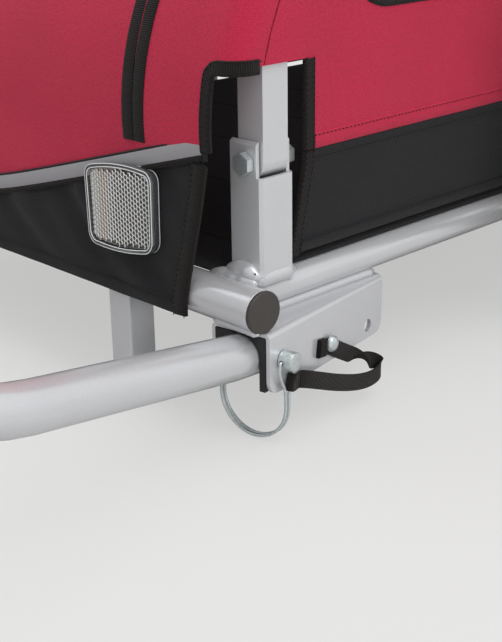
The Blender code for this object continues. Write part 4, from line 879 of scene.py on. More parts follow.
def stitch_tree():
    """Stitches laid along edges: one long, thin ball of thread at each step."""
    tree, start, end = repeat_tree("stitches", Pitch="Float", Length="Float", Thickness="Float")
    curve = add(tree, "GeometryNodeMeshToCurve", {"Mesh": start["Geometry"]})
    steps = add(tree, "GeometryNodeCurveToPoints", {"Curve": curve, "Length": start["Pitch"]}, "Points",
                mode="LENGTH")
    along = steps.node.outputs["Tangent"]
    turn = add(tree, "FunctionNodeAlignRotationToVector", {"Vector": along}, axis="X")
    ball = add(tree, "GeometryNodeMeshUVSphere", {"Segments": 6, "Rings": 5, "Radius": 0.5})
    shape = add(tree, "ShaderNodeCombineXYZ",
                {"X": start["Length"], "Y": start["Thickness"], "Z": start["Thickness"]})
    sized = add(tree, "GeometryNodeTransform", {"Geometry": ball, "Scale": shape})
    laid = add(tree, "GeometryNodeInstanceOnPoints", {"Points": steps, "Instance": sized, "Rotation": turn})
    return finish_tree(tree, start, end, laid)


def tread_tree():
    """Tread blocks round a tyre: one row on a circle, turned to face outwards."""
    tree, start, end = repeat_tree("tread", Blocks="Int", Radius="Float", Block="Vector", Shift="Float",
                                   Lean="Float")
    ring = add(tree, "GeometryNodeMeshCircle", {"Vertices": start["Blocks"], "Radius": start["Radius"]})
    block = add(tree, "GeometryNodeMeshCube", {"Size": start["Block"]})
    step = add(tree, "ShaderNodeMath", {0: 2 * math.pi, 1: start["Blocks"]}, operation="DIVIDE")
    angle = add(tree, "ShaderNodeMath", {0: add(tree, "GeometryNodeInputIndex"), 1: step},
                operation="MULTIPLY")
    outwards = add(tree, "ShaderNodeCombineXYZ", {"Y": start["Lean"], "Z": angle})
    laid = add(tree, "GeometryNodeInstanceOnPoints",
               {"Points": ring, "Instance": block, "Rotation": outwards})
    aside = add(tree, "ShaderNodeCombineXYZ", {"Z": start["Shift"]})
    moved = add(tree, "GeometryNodeTransform", {"Geometry": laid, "Translation": aside})
    return finish_tree(tree, start, end, moved)


def prism_tree():
    """Six-sided prisms with flat tips on a mesh's points, standing along each point's "out" direction."""
    tree, start, end = repeat_tree("prisms", Width="Float", Tip="Float", Height="Float")
    cone = add(tree, "GeometryNodeMeshCone", {"Vertices": 6, "Radius Bottom": start["Width"],
                                              "Radius Top": start["Tip"], "Depth": start["Height"]})
    out = add(tree, "GeometryNodeInputNamedAttribute", {"Name": "out"}, data_type="FLOAT_VECTOR")
    turn = add(tree, "FunctionNodeAlignRotationToVector", {"Vector": out}, axis="Z")
    laid = add(tree, "GeometryNodeInstanceOnPoints",
               {"Points": start["Geometry"], "Instance": cone, "Rotation": turn})
    return finish_tree(tree, start, end, laid)


TREES = {"stitches": stitch_tree, "tread": tread_tree, "prisms": prism_tree}
MADE_TREES = {}


def repeated(name, source, tree_name, values):
    """A mesh made by a Geometry Nodes tree from a source mesh and the values of its inputs."""
    if tree_name not in MADE_TREES:
        MADE_TREES[tree_name] = TREES[tree_name]()
    tree = MADE_TREES[tree_name]
    obj = loose(name, source)
    mod = obj.modifiers.new(tree_name, "NODES")
    mod.node_group = tree
    for socket in tree.interface.items_tree:
        if socket.in_out == "INPUT" and socket.name in values:
            mod[socket.identifier] = values[socket.name]
    mesh = take_mesh(settled(obj))
    bpy.data.meshes.remove(source)
    mesh.shade_smooth()
    mesh.set_sharp_from_angle(angle=math.radians(35))
    return mesh


def stitches(name, wrap, paths, body, lift=0.0008, key="thread"):
    """Rows of stitches along (u, v) paths on the cloth."""
    points, edges = [], []
    for path in paths:
        row = spaced([(u, v, 0) for u, v in path], 0.003)
        for i, p in enumerate(row):
            point, out = facing(wrap, p[0], p[1])
            if i:
                edges.append((len(points) - 1, len(points)))
            points.append(point + out * lift)
    source = bpy.data.meshes.new(name + "_path")
    source.from_pydata(points, edges, [])
    size = sizes()
    mesh = repeated(name, source, "stitches", {"Pitch": size.stitch_pitch, "Length": size.stitch,
                                               "Thickness": size.thread, "Finish": finish(key)})
    return piece(name, mesh, key, body)


# The cabin's surfaces, each from (u, v) in metres on its flat cut

def front_back(z):
    """How far back of the front tube the cabin's front stands at a height."""
    straight = PANEL_FRONT + z * math.tan(PANEL_LEAN)
    knee_back = POST_BACK - FRAME_HALF - CLOTH_LEAD
    share = clamp((z - SEAM) / (FRAME_KNEE - SEAM + 0.02))
    return straight * (1 - share) + (knee_back + (z - FRAME_KNEE) * math.tan(FRAME_LEAN)) * share


def band_height(x):
    """Height of the band between the lower and the upper front panel."""
    return 0.0283 + 0.286 * math.sqrt(x * x + 0.025 ** 2)


def lower_front(u, v):
    """The lower front panel's plane, leaning back a little."""
    return at(u, PANEL_FRONT + v * math.tan(PANEL_LEAN), v)


def upper_front(u, v):
    """The upper front panel, which turns round the corner posts to the sides."""
    flat = RAIL_X + PANEL_OUT - SHOULDER
    side = 1 if u > 0 else -1
    over = abs(u) - flat
    if over <= 0:
        return at(u, front_back(v), v)
    quarter = SHOULDER * math.pi / 2
    turn = min(over, quarter) / SHOULDER
    x = flat + SHOULDER * math.sin(turn)
    back = SHOULDER * (1 - math.cos(turn)) + max(0.0, over - quarter)
    return at(side * x, front_back(v) + back, v)


def side_wall(side):
    """A side of the cabin, u running back and v up."""
    return lambda u, v: at(side * (RAIL_X + PANEL_OUT), u if side > 0 else -u, v)


def skirt_wall(side):
    """The skirt's surface: a side that leans in over the rail, except beside the axle."""
    def surface(u, v):
        share = clamp((0.085 - v) / 0.065) * soft_step((abs(abs(u) - AXLE_BACK) - 0.07) / 0.07)
        return at(side * (RAIL_X + PANEL_OUT - SKIRT_IN * share), u if side > 0 else -u, v)
    return surface


def roof_surface(u, v):
    """The roof, which turns down over the side frames; u runs across and v back."""
    flat = ROOF_HALF - ROOF_RADIUS
    side = 1 if u > 0 else -1
    over = abs(u) - flat
    if over <= 0:
        return at(u, v, ROOF_TOP)
    quarter = ROOF_RADIUS * math.pi / 2
    turn = min(over, quarter) / ROOF_RADIUS
    return at(side * (flat + ROOF_RADIUS * math.sin(turn)), v,
              ROOF_TOP - ROOF_RADIUS * (1 - math.cos(turn)) - max(0.0, over - quarter))


def rear_wall(u, v):
    """The rear door's plane, facing back."""
    return at(-u, REAR_BACK, v)


def lower_folds(u, v):
    """The lower panel's broad diagonal folds, still at the reflectors and the bound edges."""
    edge = clamp((v + 0.012) / 0.02) * clamp((band_height(u) - v) / 0.015)
    side = clamp((0.250 - abs(u)) / 0.03)
    dx, dz = (abs(u) - REFLECTOR_X) / 0.045, (v - REFLECTOR_Z) / 0.040
    still = clamp((math.sqrt(dx * dx + dz * dz) - 0.75) * 2)
    slope = abs(u) * 0.75 + v
    fold = 0.0019 * math.sin(slope * 95 + 0.8 * math.sin(u * 40)) + 0.0011 * math.sin(slope * 170 + 1.3)
    return (fold + 0.0014 * noise.noise(Vector((u * 18, v * 22, 3.1)))) * edge * side * still


# Stage

class TRAILER_OT_stage(bpy.types.Operator):
    """Floor, backdrop, soft light and the camera"""
    bl_idname = "trailer.stage"
    bl_label = "Stage"

    def execute(self, context):
        """Makes them."""
        colours = context.scene.trailer_colours
        floor_and_backdrop(colours)
        world_light(colours)
        for row in LAMPS:
            lamp(*row)
        photo_camera()
        context.scene.view_settings.view_transform = "Standard"
        return {"FINISHED"}


def seen_straight(tree):
    """1 where the camera sees the surface itself, also through glass."""
    camera = add(tree, "ShaderNodeLightPath", output="Is Camera Ray")
    glass = add(tree, "ShaderNodeLightPath", output="Is Transmission Ray")
    return add(tree, "ShaderNodeMath", {0: camera, 1: glass}, operation="MAXIMUM")


def floor_and_backdrop(colours):
    """A pale floor out to the horizon; it takes the shadow, and glows a little where the camera sees it."""
    bm = bmesh.new()
    bmesh.ops.create_circle(bm, cap_ends=True, segments=64, radius=14)
    mesh = bpy.data.meshes.new("floor")
    bm.to_mesh(mesh)
    bm.free()
    mat, tree, shader = new_finish("matt_studio_floor", {"Roughness": 0.65, "Specular IOR Level": 0.3,
                                                         "Emission Color": colours.backdrop})
    place = place_of(tree)
    seen = seen_straight(tree)
    cloud = add(tree, "ShaderNodeTexNoise", {"Vector": place, "Scale": 1 / 0.9})
    pale = tinted(tree, cloud, colours.backdrop, darker(colours.backdrop, 0.93))
    # Reflections on metal see the floor darker and warmer towards the front right: painted reflection.
    rear_left = (0.8, 0.6, 0.0)
    along = add(tree, "ShaderNodeVectorMath", {0: place, 1: rear_left}, "Value", operation="DOT_PRODUCT")
    shade = add(tree, "ShaderNodeMapRange", {"Value": along, "From Min": -0.3, "From Max": 0.3,
                                             "To Min": 0.75, "To Max": 0.0})
    glossy = add(tree, "ShaderNodeLightPath", output="Is Glossy Ray")
    dim = add(tree, "ShaderNodeMath", {0: glossy, 1: shade}, operation="MULTIPLY")
    painted_reflection_floor = tinted(tree, dim, pale, linear("5A534E"))
    give(tree, shader, {
        "Base Color": tinted(tree, seen, painted_reflection_floor, darker(colours.backdrop, 0.36)),
        "Emission Strength": add(tree, "ShaderNodeMapRange", {"Value": seen, "To Max": 0.72}),
    })
    mesh.materials.append(mat)
    loose("floor", mesh)


def world_light(colours):
    """Soft light, brighter from above and from the driver's left; the camera sees the pale backdrop."""
    world = bpy.data.worlds.new("studio")
    bpy.context.scene.world = world
    world.use_nodes = True
    tree = world.node_tree
    tree.nodes.clear()
    way = add(tree, "ShaderNodeTexCoord", output="Generated")
    brightest = (0.80, 0.10, 0.60)
    side = add(tree, "ShaderNodeVectorMath", {0: way, 1: brightest}, "Value", operation="DOT_PRODUCT")
    strength = add(tree, "ShaderNodeMapRange", {"Value": side, "From Min": -0.9, "From Max": 0.9,
                                                "To Min": 0.34, "To Max": 0.90})
    light = add(tree, "ShaderNodeBackground", {"Color": (1, 1, 1, 1), "Strength": strength})
    backdrop = add(tree, "ShaderNodeBackground", {"Color": colours.backdrop, "Strength": 1})
    mixed = add(tree, "ShaderNodeMixShader", {0: seen_straight(tree), 1: light, 2: backdrop})
    tree.links.new(mixed, tree.nodes.new("ShaderNodeOutputWorld").inputs["Surface"])


def lamp(name, place, target, size, power, tint):
    """A soft square lamp that looks at a point."""
    light = bpy.data.lights.new(name, "AREA")
    light.color = tint
    light.size = size
    light.energy = power
    obj = bpy.data.objects.new(name, light)
    obj.location = place
    obj.rotation_euler = (Vector(target) - Vector(place)).to_track_quat("-Z", "Y").to_euler()
    bpy.context.scene.collection.objects.link(obj)


def photo_camera():
    """The camera that took the photograph, from its fit to the frame's corner."""
    yaw, pitch, roll = (math.radians(turn) for turn in CAMERA_TURN)
    view = Vector((-math.sin(yaw) * math.cos(pitch), math.cos(yaw) * math.cos(pitch), -math.sin(pitch)))
    right = Vector((math.cos(yaw), math.sin(yaw), 0))
    up = right.cross(view)
    across = right * math.cos(roll) + up * math.sin(roll)
    above = up * math.cos(roll) - right * math.sin(roll)
    data = bpy.data.cameras.new("photo_camera")
    data.lens = CAMERA_LENS
    data.clip_start = 0.02
    cam = bpy.data.objects.new("photo_camera", data)
    matrix = Matrix((across, above, -view)).transposed().to_4x4()
    matrix.translation = CAMERA_PLACE
    cam.matrix_world = matrix
    bpy.context.scene.collection.objects.link(cam)
    bpy.context.scene.camera = cam


# Metalwork

# Each finish, the width of its eased edges, and the CAD nodes that take them
EASE = (
    ("silver_paint", 0.0004, ("front_cross_tube", "rear_cross_tube")),
    ("silver_paint", 0.0003, ("side_rail_left", "side_rail_right")),
    ("silver_paint", 0.0018, ("side_frame_left", "side_frame_right")),
    ("silver_paint", 0.0009, ("corner_post_front_left", "corner_post_front_right", "corner_post_rear_left",
                              "corner_post_rear_right")),
    ("silver_paint", 0.0008, ("spreader_bar_front", "spreader_bar_rear")),
    ("silver_paint", 0.0005, ("front_leg_left", "front_leg_right")),
    ("silver_paint", 0.0006, ("drawbar_bracket",)),
    ("silver_paint", 0.0005, ("drawbar",)),
    ("silver_paint", 0.0008, ("axle_bracket_left", "axle_bracket_right")),
    ("black_plastic", 0.0006, ("bracket_liner",)),
    ("black_plastic", 0.0012, ("leg_foot_left", "leg_foot_right")),
    ("dark_plastic", 0.0003, ("end_cap_front_left", "end_cap_front_right", "end_cap_rear_left",
                              "end_cap_rear_right")),
    ("zinc", 0.0008, ("hitch_fork", "hitch_block")),
    ("zinc", 0.0004, ("drawbar_pivot_nut",)),
)


class TRAILER_OT_metalwork(bpy.types.Operator):
    """Tubes, posts, legs, bracket and plastic ends, with eased edges and their finishes"""
    bl_idname = "trailer.metalwork"
    bl_label = "Metalwork"

    def execute(self, context):
        """Makes them."""
        for key, edge, nodes in EASE:
            for node in nodes:
                dressed(node, key, edge)
        return {"FINISHED"}


# Welds

def bead(name, points, radius, closed=False, ripple=1.0):
    """A weld: a rippled, slightly uneven bead along a seam, softened by the paint over it."""
    path = spaced(points, radius * 0.45, closed)
    seed = len(bpy.data.meshes) * 0.37

    def wobble(i):
        end = 1.0 if closed else min(1.0, 0.45 + 0.2 * min(i, len(path) - 1 - i))
        uneven = 0.16 * noise.noise(Vector((i * 0.13, seed, 0)))
        return end * (1 + ripple * (0.035 * math.sin(i * 1.5) + uneven))

    return piece(name, mesh_from(name, tube(path, radius, 14, closed, wobble), 80), "silver_paint", "base")


# The beads round a post's foot: name, points across, back and up, radius and ripple
POST_WELDS = (
    ("root", ((0.2370, 0.0090, 0.0095), (0.2500, 0.0108, 0.0116), (0.2640, 0.0116, 0.0124),
              (0.2780, 0.0118, 0.0112)), 0.0052, 1.6),
    ("front", ((0.2480, 0.0150, 0.0135), (0.2580, 0.0144, 0.0170), (0.2690, 0.0140, 0.0180),
               (0.2790, 0.0140, 0.0145)), 0.0062, 1.6),
    ("outer", ((0.2744, 0.0115, 0.0128), (0.2748, 0.0240, 0.0136), (0.2748, 0.0380, 0.0136),
               (0.2744, 0.0500, 0.0126)), 0.0066, 0.3),
)


def post_welds(side, rear):
    """Beads round the foot of one corner post, and where the rail meets the cross tube."""
    tag = f"{'rear' if rear else 'front'}_{side_name(side)}"

    def corner(x, y, z):
        return at(side * x, BASE_LENGTH - y if rear else y, z)

    for name, points, radius, ripple in POST_WELDS:
        bead(f"weld_post_{name}_{tag}", [corner(*p) for p in points], radius, ripple=ripple)
    if side > 0 and not rear:
        # A black blob where the weld has a pinhole: painted shade of its hollow.
        pit = spun([(0, 0.0006), (0.0006, 0.0003), (0.0008, -0.0005), (0, -0.0008)],
                   Matrix.Translation(corner(0.2785, 0.0100, 0.0192)), 12)
        piece("weld_pinhole_painted_shade", mesh_from("pinhole", pit), "black_plastic", "base")
    bead("weld_post_inner_" + tag, [corner(0.2505, y, 0.0070) for y in (0.0150, 0.0300, 0.0460)], 0.0042)
    over = [corner(x, 0.0460, z) for z, x in arc((0, RAIL_X), 0.0118, -62, 62, 8)]
    bead("weld_post_back_" + tag, over, 0.0032)
    ring, seat = [], RAIL_RADIUS + 0.0006
    for k in range(28):
        a = 2 * math.pi * k / 28
        z = seat * math.sin(a)
        ring.append(corner(RAIL_X + seat * math.cos(a), math.sqrt(CROSS_RADIUS ** 2 - z * z) + 0.0012, z))
    bead("weld_rail_end_" + tag, ring, 0.0024, closed=True)


def leg_welds(side):
    """A bead round the top of one support leg."""
    half, loop = 0.0118, []
    corners = [(-half, -half), (half, -half), (half, half), (-half, half)]
    for x, y in dense(rounded(corners, 0.003), 0.002):
        loop.append(at(side * LEG_X + x, y, -math.sqrt(max(0.0, (CROSS_RADIUS - 0.0004) ** 2 - y * y))))
    bead("weld_leg_" + side_name(side), loop, 0.0021, closed=True)


class TRAILER_OT_welds(bpy.types.Operator):
    """Weld beads of the posts, rails, legs, drawbar bracket and axle brackets"""
    bl_idname = "trailer.welds"
    bl_label = "Welds"

    def execute(self, context):
        """Makes them."""
        for side in (1, -1):
            for rear in (False, True):
                post_welds(side, rear)
            leg_welds(side)
            for tag, z in (("top", RAIL_RADIUS - 0.0012), ("bottom", 0.0008 - RAIL_RADIUS)):
                bead(f"weld_axle_{tag}_{side_name(side)}",
                     [at(side * (RAIL_X + 0.0125), AXLE_BACK + y, z) for y in (-0.025, 0.025)], 0.0022)
        web = bracket_frame()
        for tag, back, rise in (("front", -0.0035, 0.0015), ("rear", 0.0105, 0.0022)):
            ends = [web @ Vector((x, back - x * math.tan(BRACKET_YAW), rise)) for x in (-0.021, 0.019)]
            bead("weld_bracket_" + tag, ends, 0.0024)
        along_rail = [at(RAIL_X + 0.0045, y, -0.0126) for y in (0.016, 0.137)]
        bead("weld_bracket_rail", along_rail, 0.0037, ripple=0.2)
        return {"FINISHED"}


# Fasteners, lock pin and leash

def bracket_frame():
    """The drawbar bracket's own frame: X across it, Y back along it."""
    turn = Matrix.Rotation(BRACKET_YAW, 4, "Z")
    return Matrix.Translation(at(RAIL_X + 0.0120, -0.0024, -CROSS_RADIUS - 0.0003)) @ turn


def through(back, drop):
    """Frame of a pin across the bracket, Z outwards from its middle."""
    return bracket_frame() @ Matrix.Translation((0, back, -drop)) @ Matrix.Rotation(math.pi / 2, 4, "Y")


def wheel_frame(side):
    """A wheel's own frame, Z outwards along its axle."""
    turn = Matrix.Rotation(side * math.pi / 2, 4, "Y")
    return Matrix.Translation(at(side * WHEEL_X, AXLE_BACK, WHEEL_Z - BASE_Z)) @ turn


def drilled(mesh, start, end, radius):
    """A mesh with a round hole through it."""
    depth = (Vector(end) - Vector(start)).length
    bm = spun([(0, 0), (radius, 0), (radius, depth), (0, depth)], towards(start, end), 32)
    cutter, obj = loose("drill", mesh_from("drill", bm)), loose("drilled", mesh)
    mod = obj.modifiers.new("hole", "BOOLEAN")
    mod.object = cutter
    mod.operation = "DIFFERENCE"
    mesh = take_mesh(settled(obj))
    bpy.data.objects.remove(cutter)
    mesh.shade_smooth()
    mesh.set_sharp_from_angle(angle=math.radians(35))
    return mesh


def domed_bolt():
    """Domed bolt that the drawbar turns on, its head over the leash, and its thread on the far side."""
    near, far = BRACKET_HALF + 0.0013 + 0.0012, -BRACKET_HALF
    head, rise, r = 0.0058, 0.0046, 0.003
    place = through(PIVOT_BACK, PIVOT_DROP)
    profile = [(0, near + rise)]
    profile += [(head * math.sin(a), near + rise * (0.17 + 0.83 * math.cos(a))) for a in
                [math.radians(9 * k) for k in range(1, 11)]]
    profile += [(head, near + 0.0002), (head - 0.0002, near), (r, near), (r, far - 0.0116),
                (r - 0.0004, far - 0.012), (0, far - 0.012)]
    piece("drawbar_pivot_bolt_finished", mesh_from("domed_bolt", spun(profile, place)), "zinc", "base",
          ["drawbar_pivot_bolt"])
    thread = [(r + 0.0002 * (k % 2), far - 0.007 - 0.0004 * k) for k in range(11)]
    piece("drawbar_bolt_thread", mesh_from("bolt_thread", spun(thread, place, 32), 60), "zinc", "base")


def lock_pin():
    """Lock pin with its chamfered, cross-drilled head."""
    r, big, head, tip = PIN_RADIUS, 0.0066, 0.0233, 0.0315
    top, ease = head + 0.0102, 0.0009
    profile = [(0, top), (0.0014, top - 0.0001), (big - ease, top), (big - ease * 0.4, top - ease * 0.25),
               (big, top - ease), (big, head + 0.0004), (big - 0.0004, head), (r, head), (r, 0.0015 - tip),
               (r - 0.0004, 0.0008 - tip), (r - 0.0015, -tip), (0, -tip)]
    mesh = mesh_from("lock_pin", spun(profile, through(PIN_BACK, PIN_DROP), 72), 28)
    web = bracket_frame()
    mesh = drilled(mesh, web @ Vector((BAIL_LEG, 0.0, -PIN_DROP)), web @ Vector((BAIL_LEG, 0.03, -PIN_DROP)),
                   0.0017)
    piece("lock_pin_finished", mesh, "zinc", "pin", ["lock_pin"])


def bail_route():
    """The wire's closed way: down in front of the head, round the bow and back up behind it."""
    leg, pin, low = BAIL_LEG, PIN_DROP, BAIL_DROP
    far, far_top = -leg - 0.0025, pin + PIN_RADIUS + WIRE_RADIUS + 0.0006

    def side_run(sign):
        spread, bow = sign * BAIL_SPREAD, sign * BAIL_BOW
        run = [(leg, sign * 0.0045, -pin), (leg, spread - sign * 0.0012, -pin), (leg, spread, -pin - 0.0014),
               (leg, spread, -pin - BAIL_SHANK), (leg, bow * 1.4, BAIL_NECK - low)]
        run += [(x, bow, z) for x, z in arc((0, -low), leg, 0, -180, 24)]
        return run + [(-leg, bow, -low + 0.010), (far, bow, -far_top - 0.0015)]

    route = side_run(-1) + [(far, 0, -far_top)] + side_run(1)[::-1]
    web = bracket_frame()
    return [web @ Vector((x, PIN_BACK + y, z)) for x, y, z in route]


def bail():
    """Sprung wire bail of the lock pin."""
    route = bail_route()
    path = spaced(smooth_route(route + [route[0]], 4)[:-1], 0.0011, closed=True)
    wire = tube(path, WIRE_RADIUS, 12, closed=True)
    piece("pin_bail_finished", mesh_from("bail", wire, 80), "zinc", "bail", ["pin_bail"])


# The leash's way from the domed bolt to the bail: back, outwards from the bracket's cheek, and down
LEASH = (
    (0.0565, 0.0013, 0.0285), (0.0690, 0.0013, 0.0310), (0.0820, 0.0017, 0.0385), (0.0970, 0.0036, 0.0470),
    (0.1110, 0.0060, 0.0540), (0.1195, 0.0100, 0.0595), (0.1150, 0.0145, 0.0630), (0.1010, 0.0150, 0.0636),
    (0.0830, 0.0138, 0.0600), (0.0620, 0.0120, 0.0527), (0.0440, 0.0100, 0.0452), (0.0325, 0.0078, 0.0405),
    (0.0262, 0.0052, 0.0385),
)


def leash():
    """Webbing leash from the domed bolt to a loop round the bail; it turns over once on its way."""
    route = [Vector((BRACKET_HALF + out, back, -drop)) for back, out, drop in LEASH]
    top = Vector((BAIL_LEG, PIN_BACK + BAIL_SPREAD, -PIN_DROP - BAIL_SHANK))
    low = Vector((BAIL_LEG, PIN_BACK + BAIL_BOW * 1.4, BAIL_NECK - BAIL_DROP))
    run = (top - low).normalized()
    wire = low + run * (route[-1].z - low.z) / run.z
    eye = WIRE_RADIUS + 0.00135
    square_on = Vector((0, run.z, -run.y))
    turns = [math.radians(65 + 12 * k) for k in range(21)]
    loop = [wire + Vector((math.sin(a) * eye, 0, 0)) + square_on * math.cos(a) * eye for a in turns]
    way = smooth_route(route, 14)
    path = way + loop
    web, framed = bracket_frame(), []
    for i, point in enumerate(path):
        twist = math.pi * soft_step((i - 34) / 34)
        down = Vector((0, 0, 1)).lerp(run, clamp((i - len(way) + 56) / 56))
        ahead = (path[min(i + 1, len(path) - 1)] - path[max(i - 1, 0)]).normalized()
        wide = Matrix.Rotation(twist, 3, ahead) @ (down - ahead * down.dot(ahead)).normalized()
        turn = web.to_3x3()
        framed.append((web @ point, turn @ wide, turn @ ahead.cross(wide)))
    strap = piece("pin_leash_finished", mesh_from("leash", band(framed, 0.012, 0.0014), 50), "leash", None,
                  ["pin_leash"])
    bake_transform(strap)
    leash_fold(*framed[2])


def leash_fold(point, wide, out):
    """The leash's end, folded back and sewn down under the domed bolt, as close ribs of webbing."""
    along, ribs = wide.cross(out), []
    for k in range(-4, 5):
        middle = point + along * 0.0008 * k
        ends = [(middle - along * 0.0005, wide, out), (middle + along * 0.0005, wide, out)]
        ribs.append(band(ends, 0.0128 - 0.0006 * (k % 2), 0.0046))
    piece("leash_fold", mesh_from("leash_fold", merged(*ribs), 40), "leash", "base")


class TRAILER_OT_lock(bpy.types.Operator):
    """Domed bolt, lock pin, wire bail and webbing leash, and the side frames' pivot bolts"""
    bl_idname = "trailer.lock"
    bl_label = "Lock pin and leash"

    def execute(self, context):
        """Makes them."""
        domed_bolt()
        lock_pin()
        bail()
        leash()
        for side in (1, -1):
            for end in ("front", "rear"):
                dressed(f"pivot_bolt_{end}_{side_name(side)}", "zinc", 0.0005)
        return {"FINISHED"}


# Wheels and hitch

# The tyre's rows of blocks: name, radius, block, shift along the axle, lean, and 1 where it is half a step on
MIDDLE_BLOCK = (0.0042, 0.0112, 0.0064)
SHOULDER_BLOCK = (0.0044, 0.0092, 0.0070)
TREAD_ROWS = (
    ("middle_a", 0.2008, MIDDLE_BLOCK, 0.0042, 0.0, 0),
    ("middle_b", 0.2008, MIDDLE_BLOCK, -0.0042, 0.0, 1),
    ("shoulder_a", 0.1968, SHOULDER_BLOCK, 0.0122, -0.55, 1),
    ("shoulder_b", 0.1968, SHOULDER_BLOCK, -0.0122, 0.55, 0),
)


def tyre(side):
    """Tyre with a plain crown that the tread stands on, and ribs on its walls."""
    centre, section, reach = 0.1812, 0.0200, 141
    profile = []
    for k in range(49):
        a = math.radians(reach - 2 * reach * k / 48)
        ribs = 0.0004 if abs(math.degrees(a)) > 62 and k % 4 < 2 else 0.0
        profile.append((centre + (section + ribs) * math.cos(a), (section + 0.0010 + ribs) * math.sin(a)))
    name = "tyre_" + side_name(side)
    matrix = wheel_frame(side)
    bm = spun(profile + [profile[0]], matrix, 96)
    body = "wheel_" + side_name(side)
    piece(name + "_finished", mesh_from(name, bm, 45), "tyre_rubber", body, [name])
    for tag, radius, block, shift, skew, odd in TREAD_ROWS:
        source = bpy.data.meshes.new("tread_seat")
        source.from_pydata([(0, 0, 0)], [], [])
        label = f"tread_{tag}_{side_name(side)}"
        mesh = repeated(label, source, "tread",
                        {"Blocks": sizes().tread_blocks, "Radius": radius, "Block": block, "Shift": shift,
                         "Lean": skew, "Finish": finish("tyre_rubber")})
        step = math.pi / sizes().tread_blocks
        mesh.transform(matrix @ Matrix.Rotation(odd * step, 4, "Z"))
        piece(label, mesh, "tyre_rubber", body)


def rim(side):
    """Moulded rim: hub, spokes with rounded edges and ring; and the tyre's valve, which stands in it."""
    name, body, matrix = "rim_" + side_name(side), "wheel_" + side_name(side), wheel_frame(side)
    ring = [(0.1645, 0.0145), (0.1645, -0.0145), (0.1632, -0.0160), (0.1610, -0.0156), (0.1550, -0.0105),
            (0.1516, -0.0060), (0.1515, 0.0060), (0.1550, 0.0105), (0.1610, 0.0156), (0.1632, 0.0160),
            (0.1645, 0.0145)]
    hub = [(0.0062, 0.0250), (0.0150, 0.0250), (0.0155, 0.0240), (0.0190, 0.0240), (0.0195, 0.0250),
           (0.0235, 0.0250), (0.0262, 0.0242), (0.0270, 0.0218), (0.0270, -0.0218), (0.0262, -0.0242),
           (0.0235, -0.0250), (0.0062, -0.0250), (0.0062, 0.0250)]
    parts = [spun(ring, Matrix(), 96), spun(hub, Matrix(), 64)]
    count = sizes().spokes
    for k in range(count):
        bm = bmesh.new()
        bmesh.ops.create_cube(bm, size=1)
        for v in bm.verts:
            reach, wide, thick = (0.1545, 0.0200, 0.0120) if v.co.x > 0 else (0.022, 0.0235, 0.0140)
            v.co = Vector((reach, v.co.y * wide, v.co.z * thick))
        bmesh.ops.rotate(bm, verts=bm.verts, matrix=Matrix.Rotation(2 * math.pi * k / count, 3, "Z"))
        parts.append(bm)
    whole = merged(*parts)
    bmesh.ops.transform(whole, matrix=matrix, verts=whole.verts)
    piece(name + "_finished", eased(name, whole, 0.0016, 3), "black_plastic", body, [name])
    valve = [(0, 0), (0.0030, 0), (0.0030, -0.012), (0.0024, -0.013), (0.0024, -0.024), (0.0019, -0.025),
             (0, -0.025)]
    stem = matrix @ Matrix.Rotation(math.radians(30), 4, "Z") @ Matrix.Translation((0.1520, 0, 0.004))
    turn = Matrix.Rotation(math.radians(90), 4, "Y")
    piece("valve_" + side_name(side), mesh_from("valve", spun(valve, stem @ turn, 24)), "black_rubber", body)


def axle(side):
    """Stub axle's turned head, and the push button in it."""
    matrix, name = wheel_frame(side), side_name(side)
    r, big, head, low = 0.006, 0.012, 0.0318, 0.0253
    profile = [(0, 0.0256), (0.00465, 0.0256), (0.00465, head - 0.0004), (0.0051, head), (big - 0.0012, head),
               (big - 0.0004, head - 0.0004), (big, head - 0.0012), (big, low), (r, low), (r, -0.0435),
               (r - 0.001, -0.0445), (0, -0.0445)]
    piece("axle_finished_" + name, mesh_from("axle", spun(profile, matrix)), "zinc", "base", ["axle_" + name])
    out = 0.0353
    profile = [(0, out - 0.0003), (0.0022, out - 0.0001), (0.0036, out), (0.0042, out - 0.0003),
               (0.0045, out - 0.001), (0.0045, 0.0289), (0, 0.0289)]
    piece("release_button_finished_" + name, mesh_from("button", spun(profile, matrix, 48)), "dark_plastic",
          "button_" + name, ["release_button_" + name])


class TRAILER_OT_wheels(bpy.types.Operator):
    """Tyres with tread, rims, axles and release buttons"""
    bl_idname = "trailer.wheels"
    bl_label = "Wheels"

    def execute(self, context):
        """Makes them."""
        for side in (1, -1):
            tyre(side)
            rim(side)
            axle(side)
        return {"FINISHED"}


def hitch_joint():
    """Rubber joint with four waists along its length."""
    reach, waist, length_ahead, count = 0.0135, 0.0108, 0.040, 60
    profile = [(0, 0)]
    for k in range(count + 1):
        wave = 0.5 - 0.5 * math.cos(2 * math.pi * 4 * k / count)
        profile.append((reach - (reach - waist) * wave ** 0.7, length_ahead * k / count))
    profile.append((0, length_ahead))
    forward = Matrix.Translation(HITCH + Vector((0, -0.0003, 0))) @ Matrix.Rotation(math.pi / 2, 4, "X")
    piece("hitch_flex_finished", mesh_from("hitch_flex", spun(profile, forward)), "black_rubber", "base",
          ["hitch_flex"])


def drop_pin():
    """Drop pin with a pull ring through its head."""
    r, big, top, low, ring_radius = 0.004, 0.0064, 0.0109, -0.0206, 0.010
    profile = [(0, top + 0.006), (big - 0.0010, top + 0.006), (big, top + 0.005), (big, top + 0.0006),
               (big - 0.0006, top), (r, top), (r, low + 0.0015), (r - 0.0015, low), (0, low)]
    pin = Matrix.Translation(HITCH + Vector((0, -0.0686, 0)))
    ring = [pin @ Vector((ring_radius * math.sin(a), 0, top + 0.014 - ring_radius * math.cos(a))) for a in
            [2 * math.pi * k / 48 for k in range(48)]]
    both = merged(spun(profile, pin), tube(ring, 0.0015, 12, closed=True))
    piece("hitch_pin_finished", mesh_from("hitch_pin", both), "zinc", "drop_pin", ["hitch_pin"])


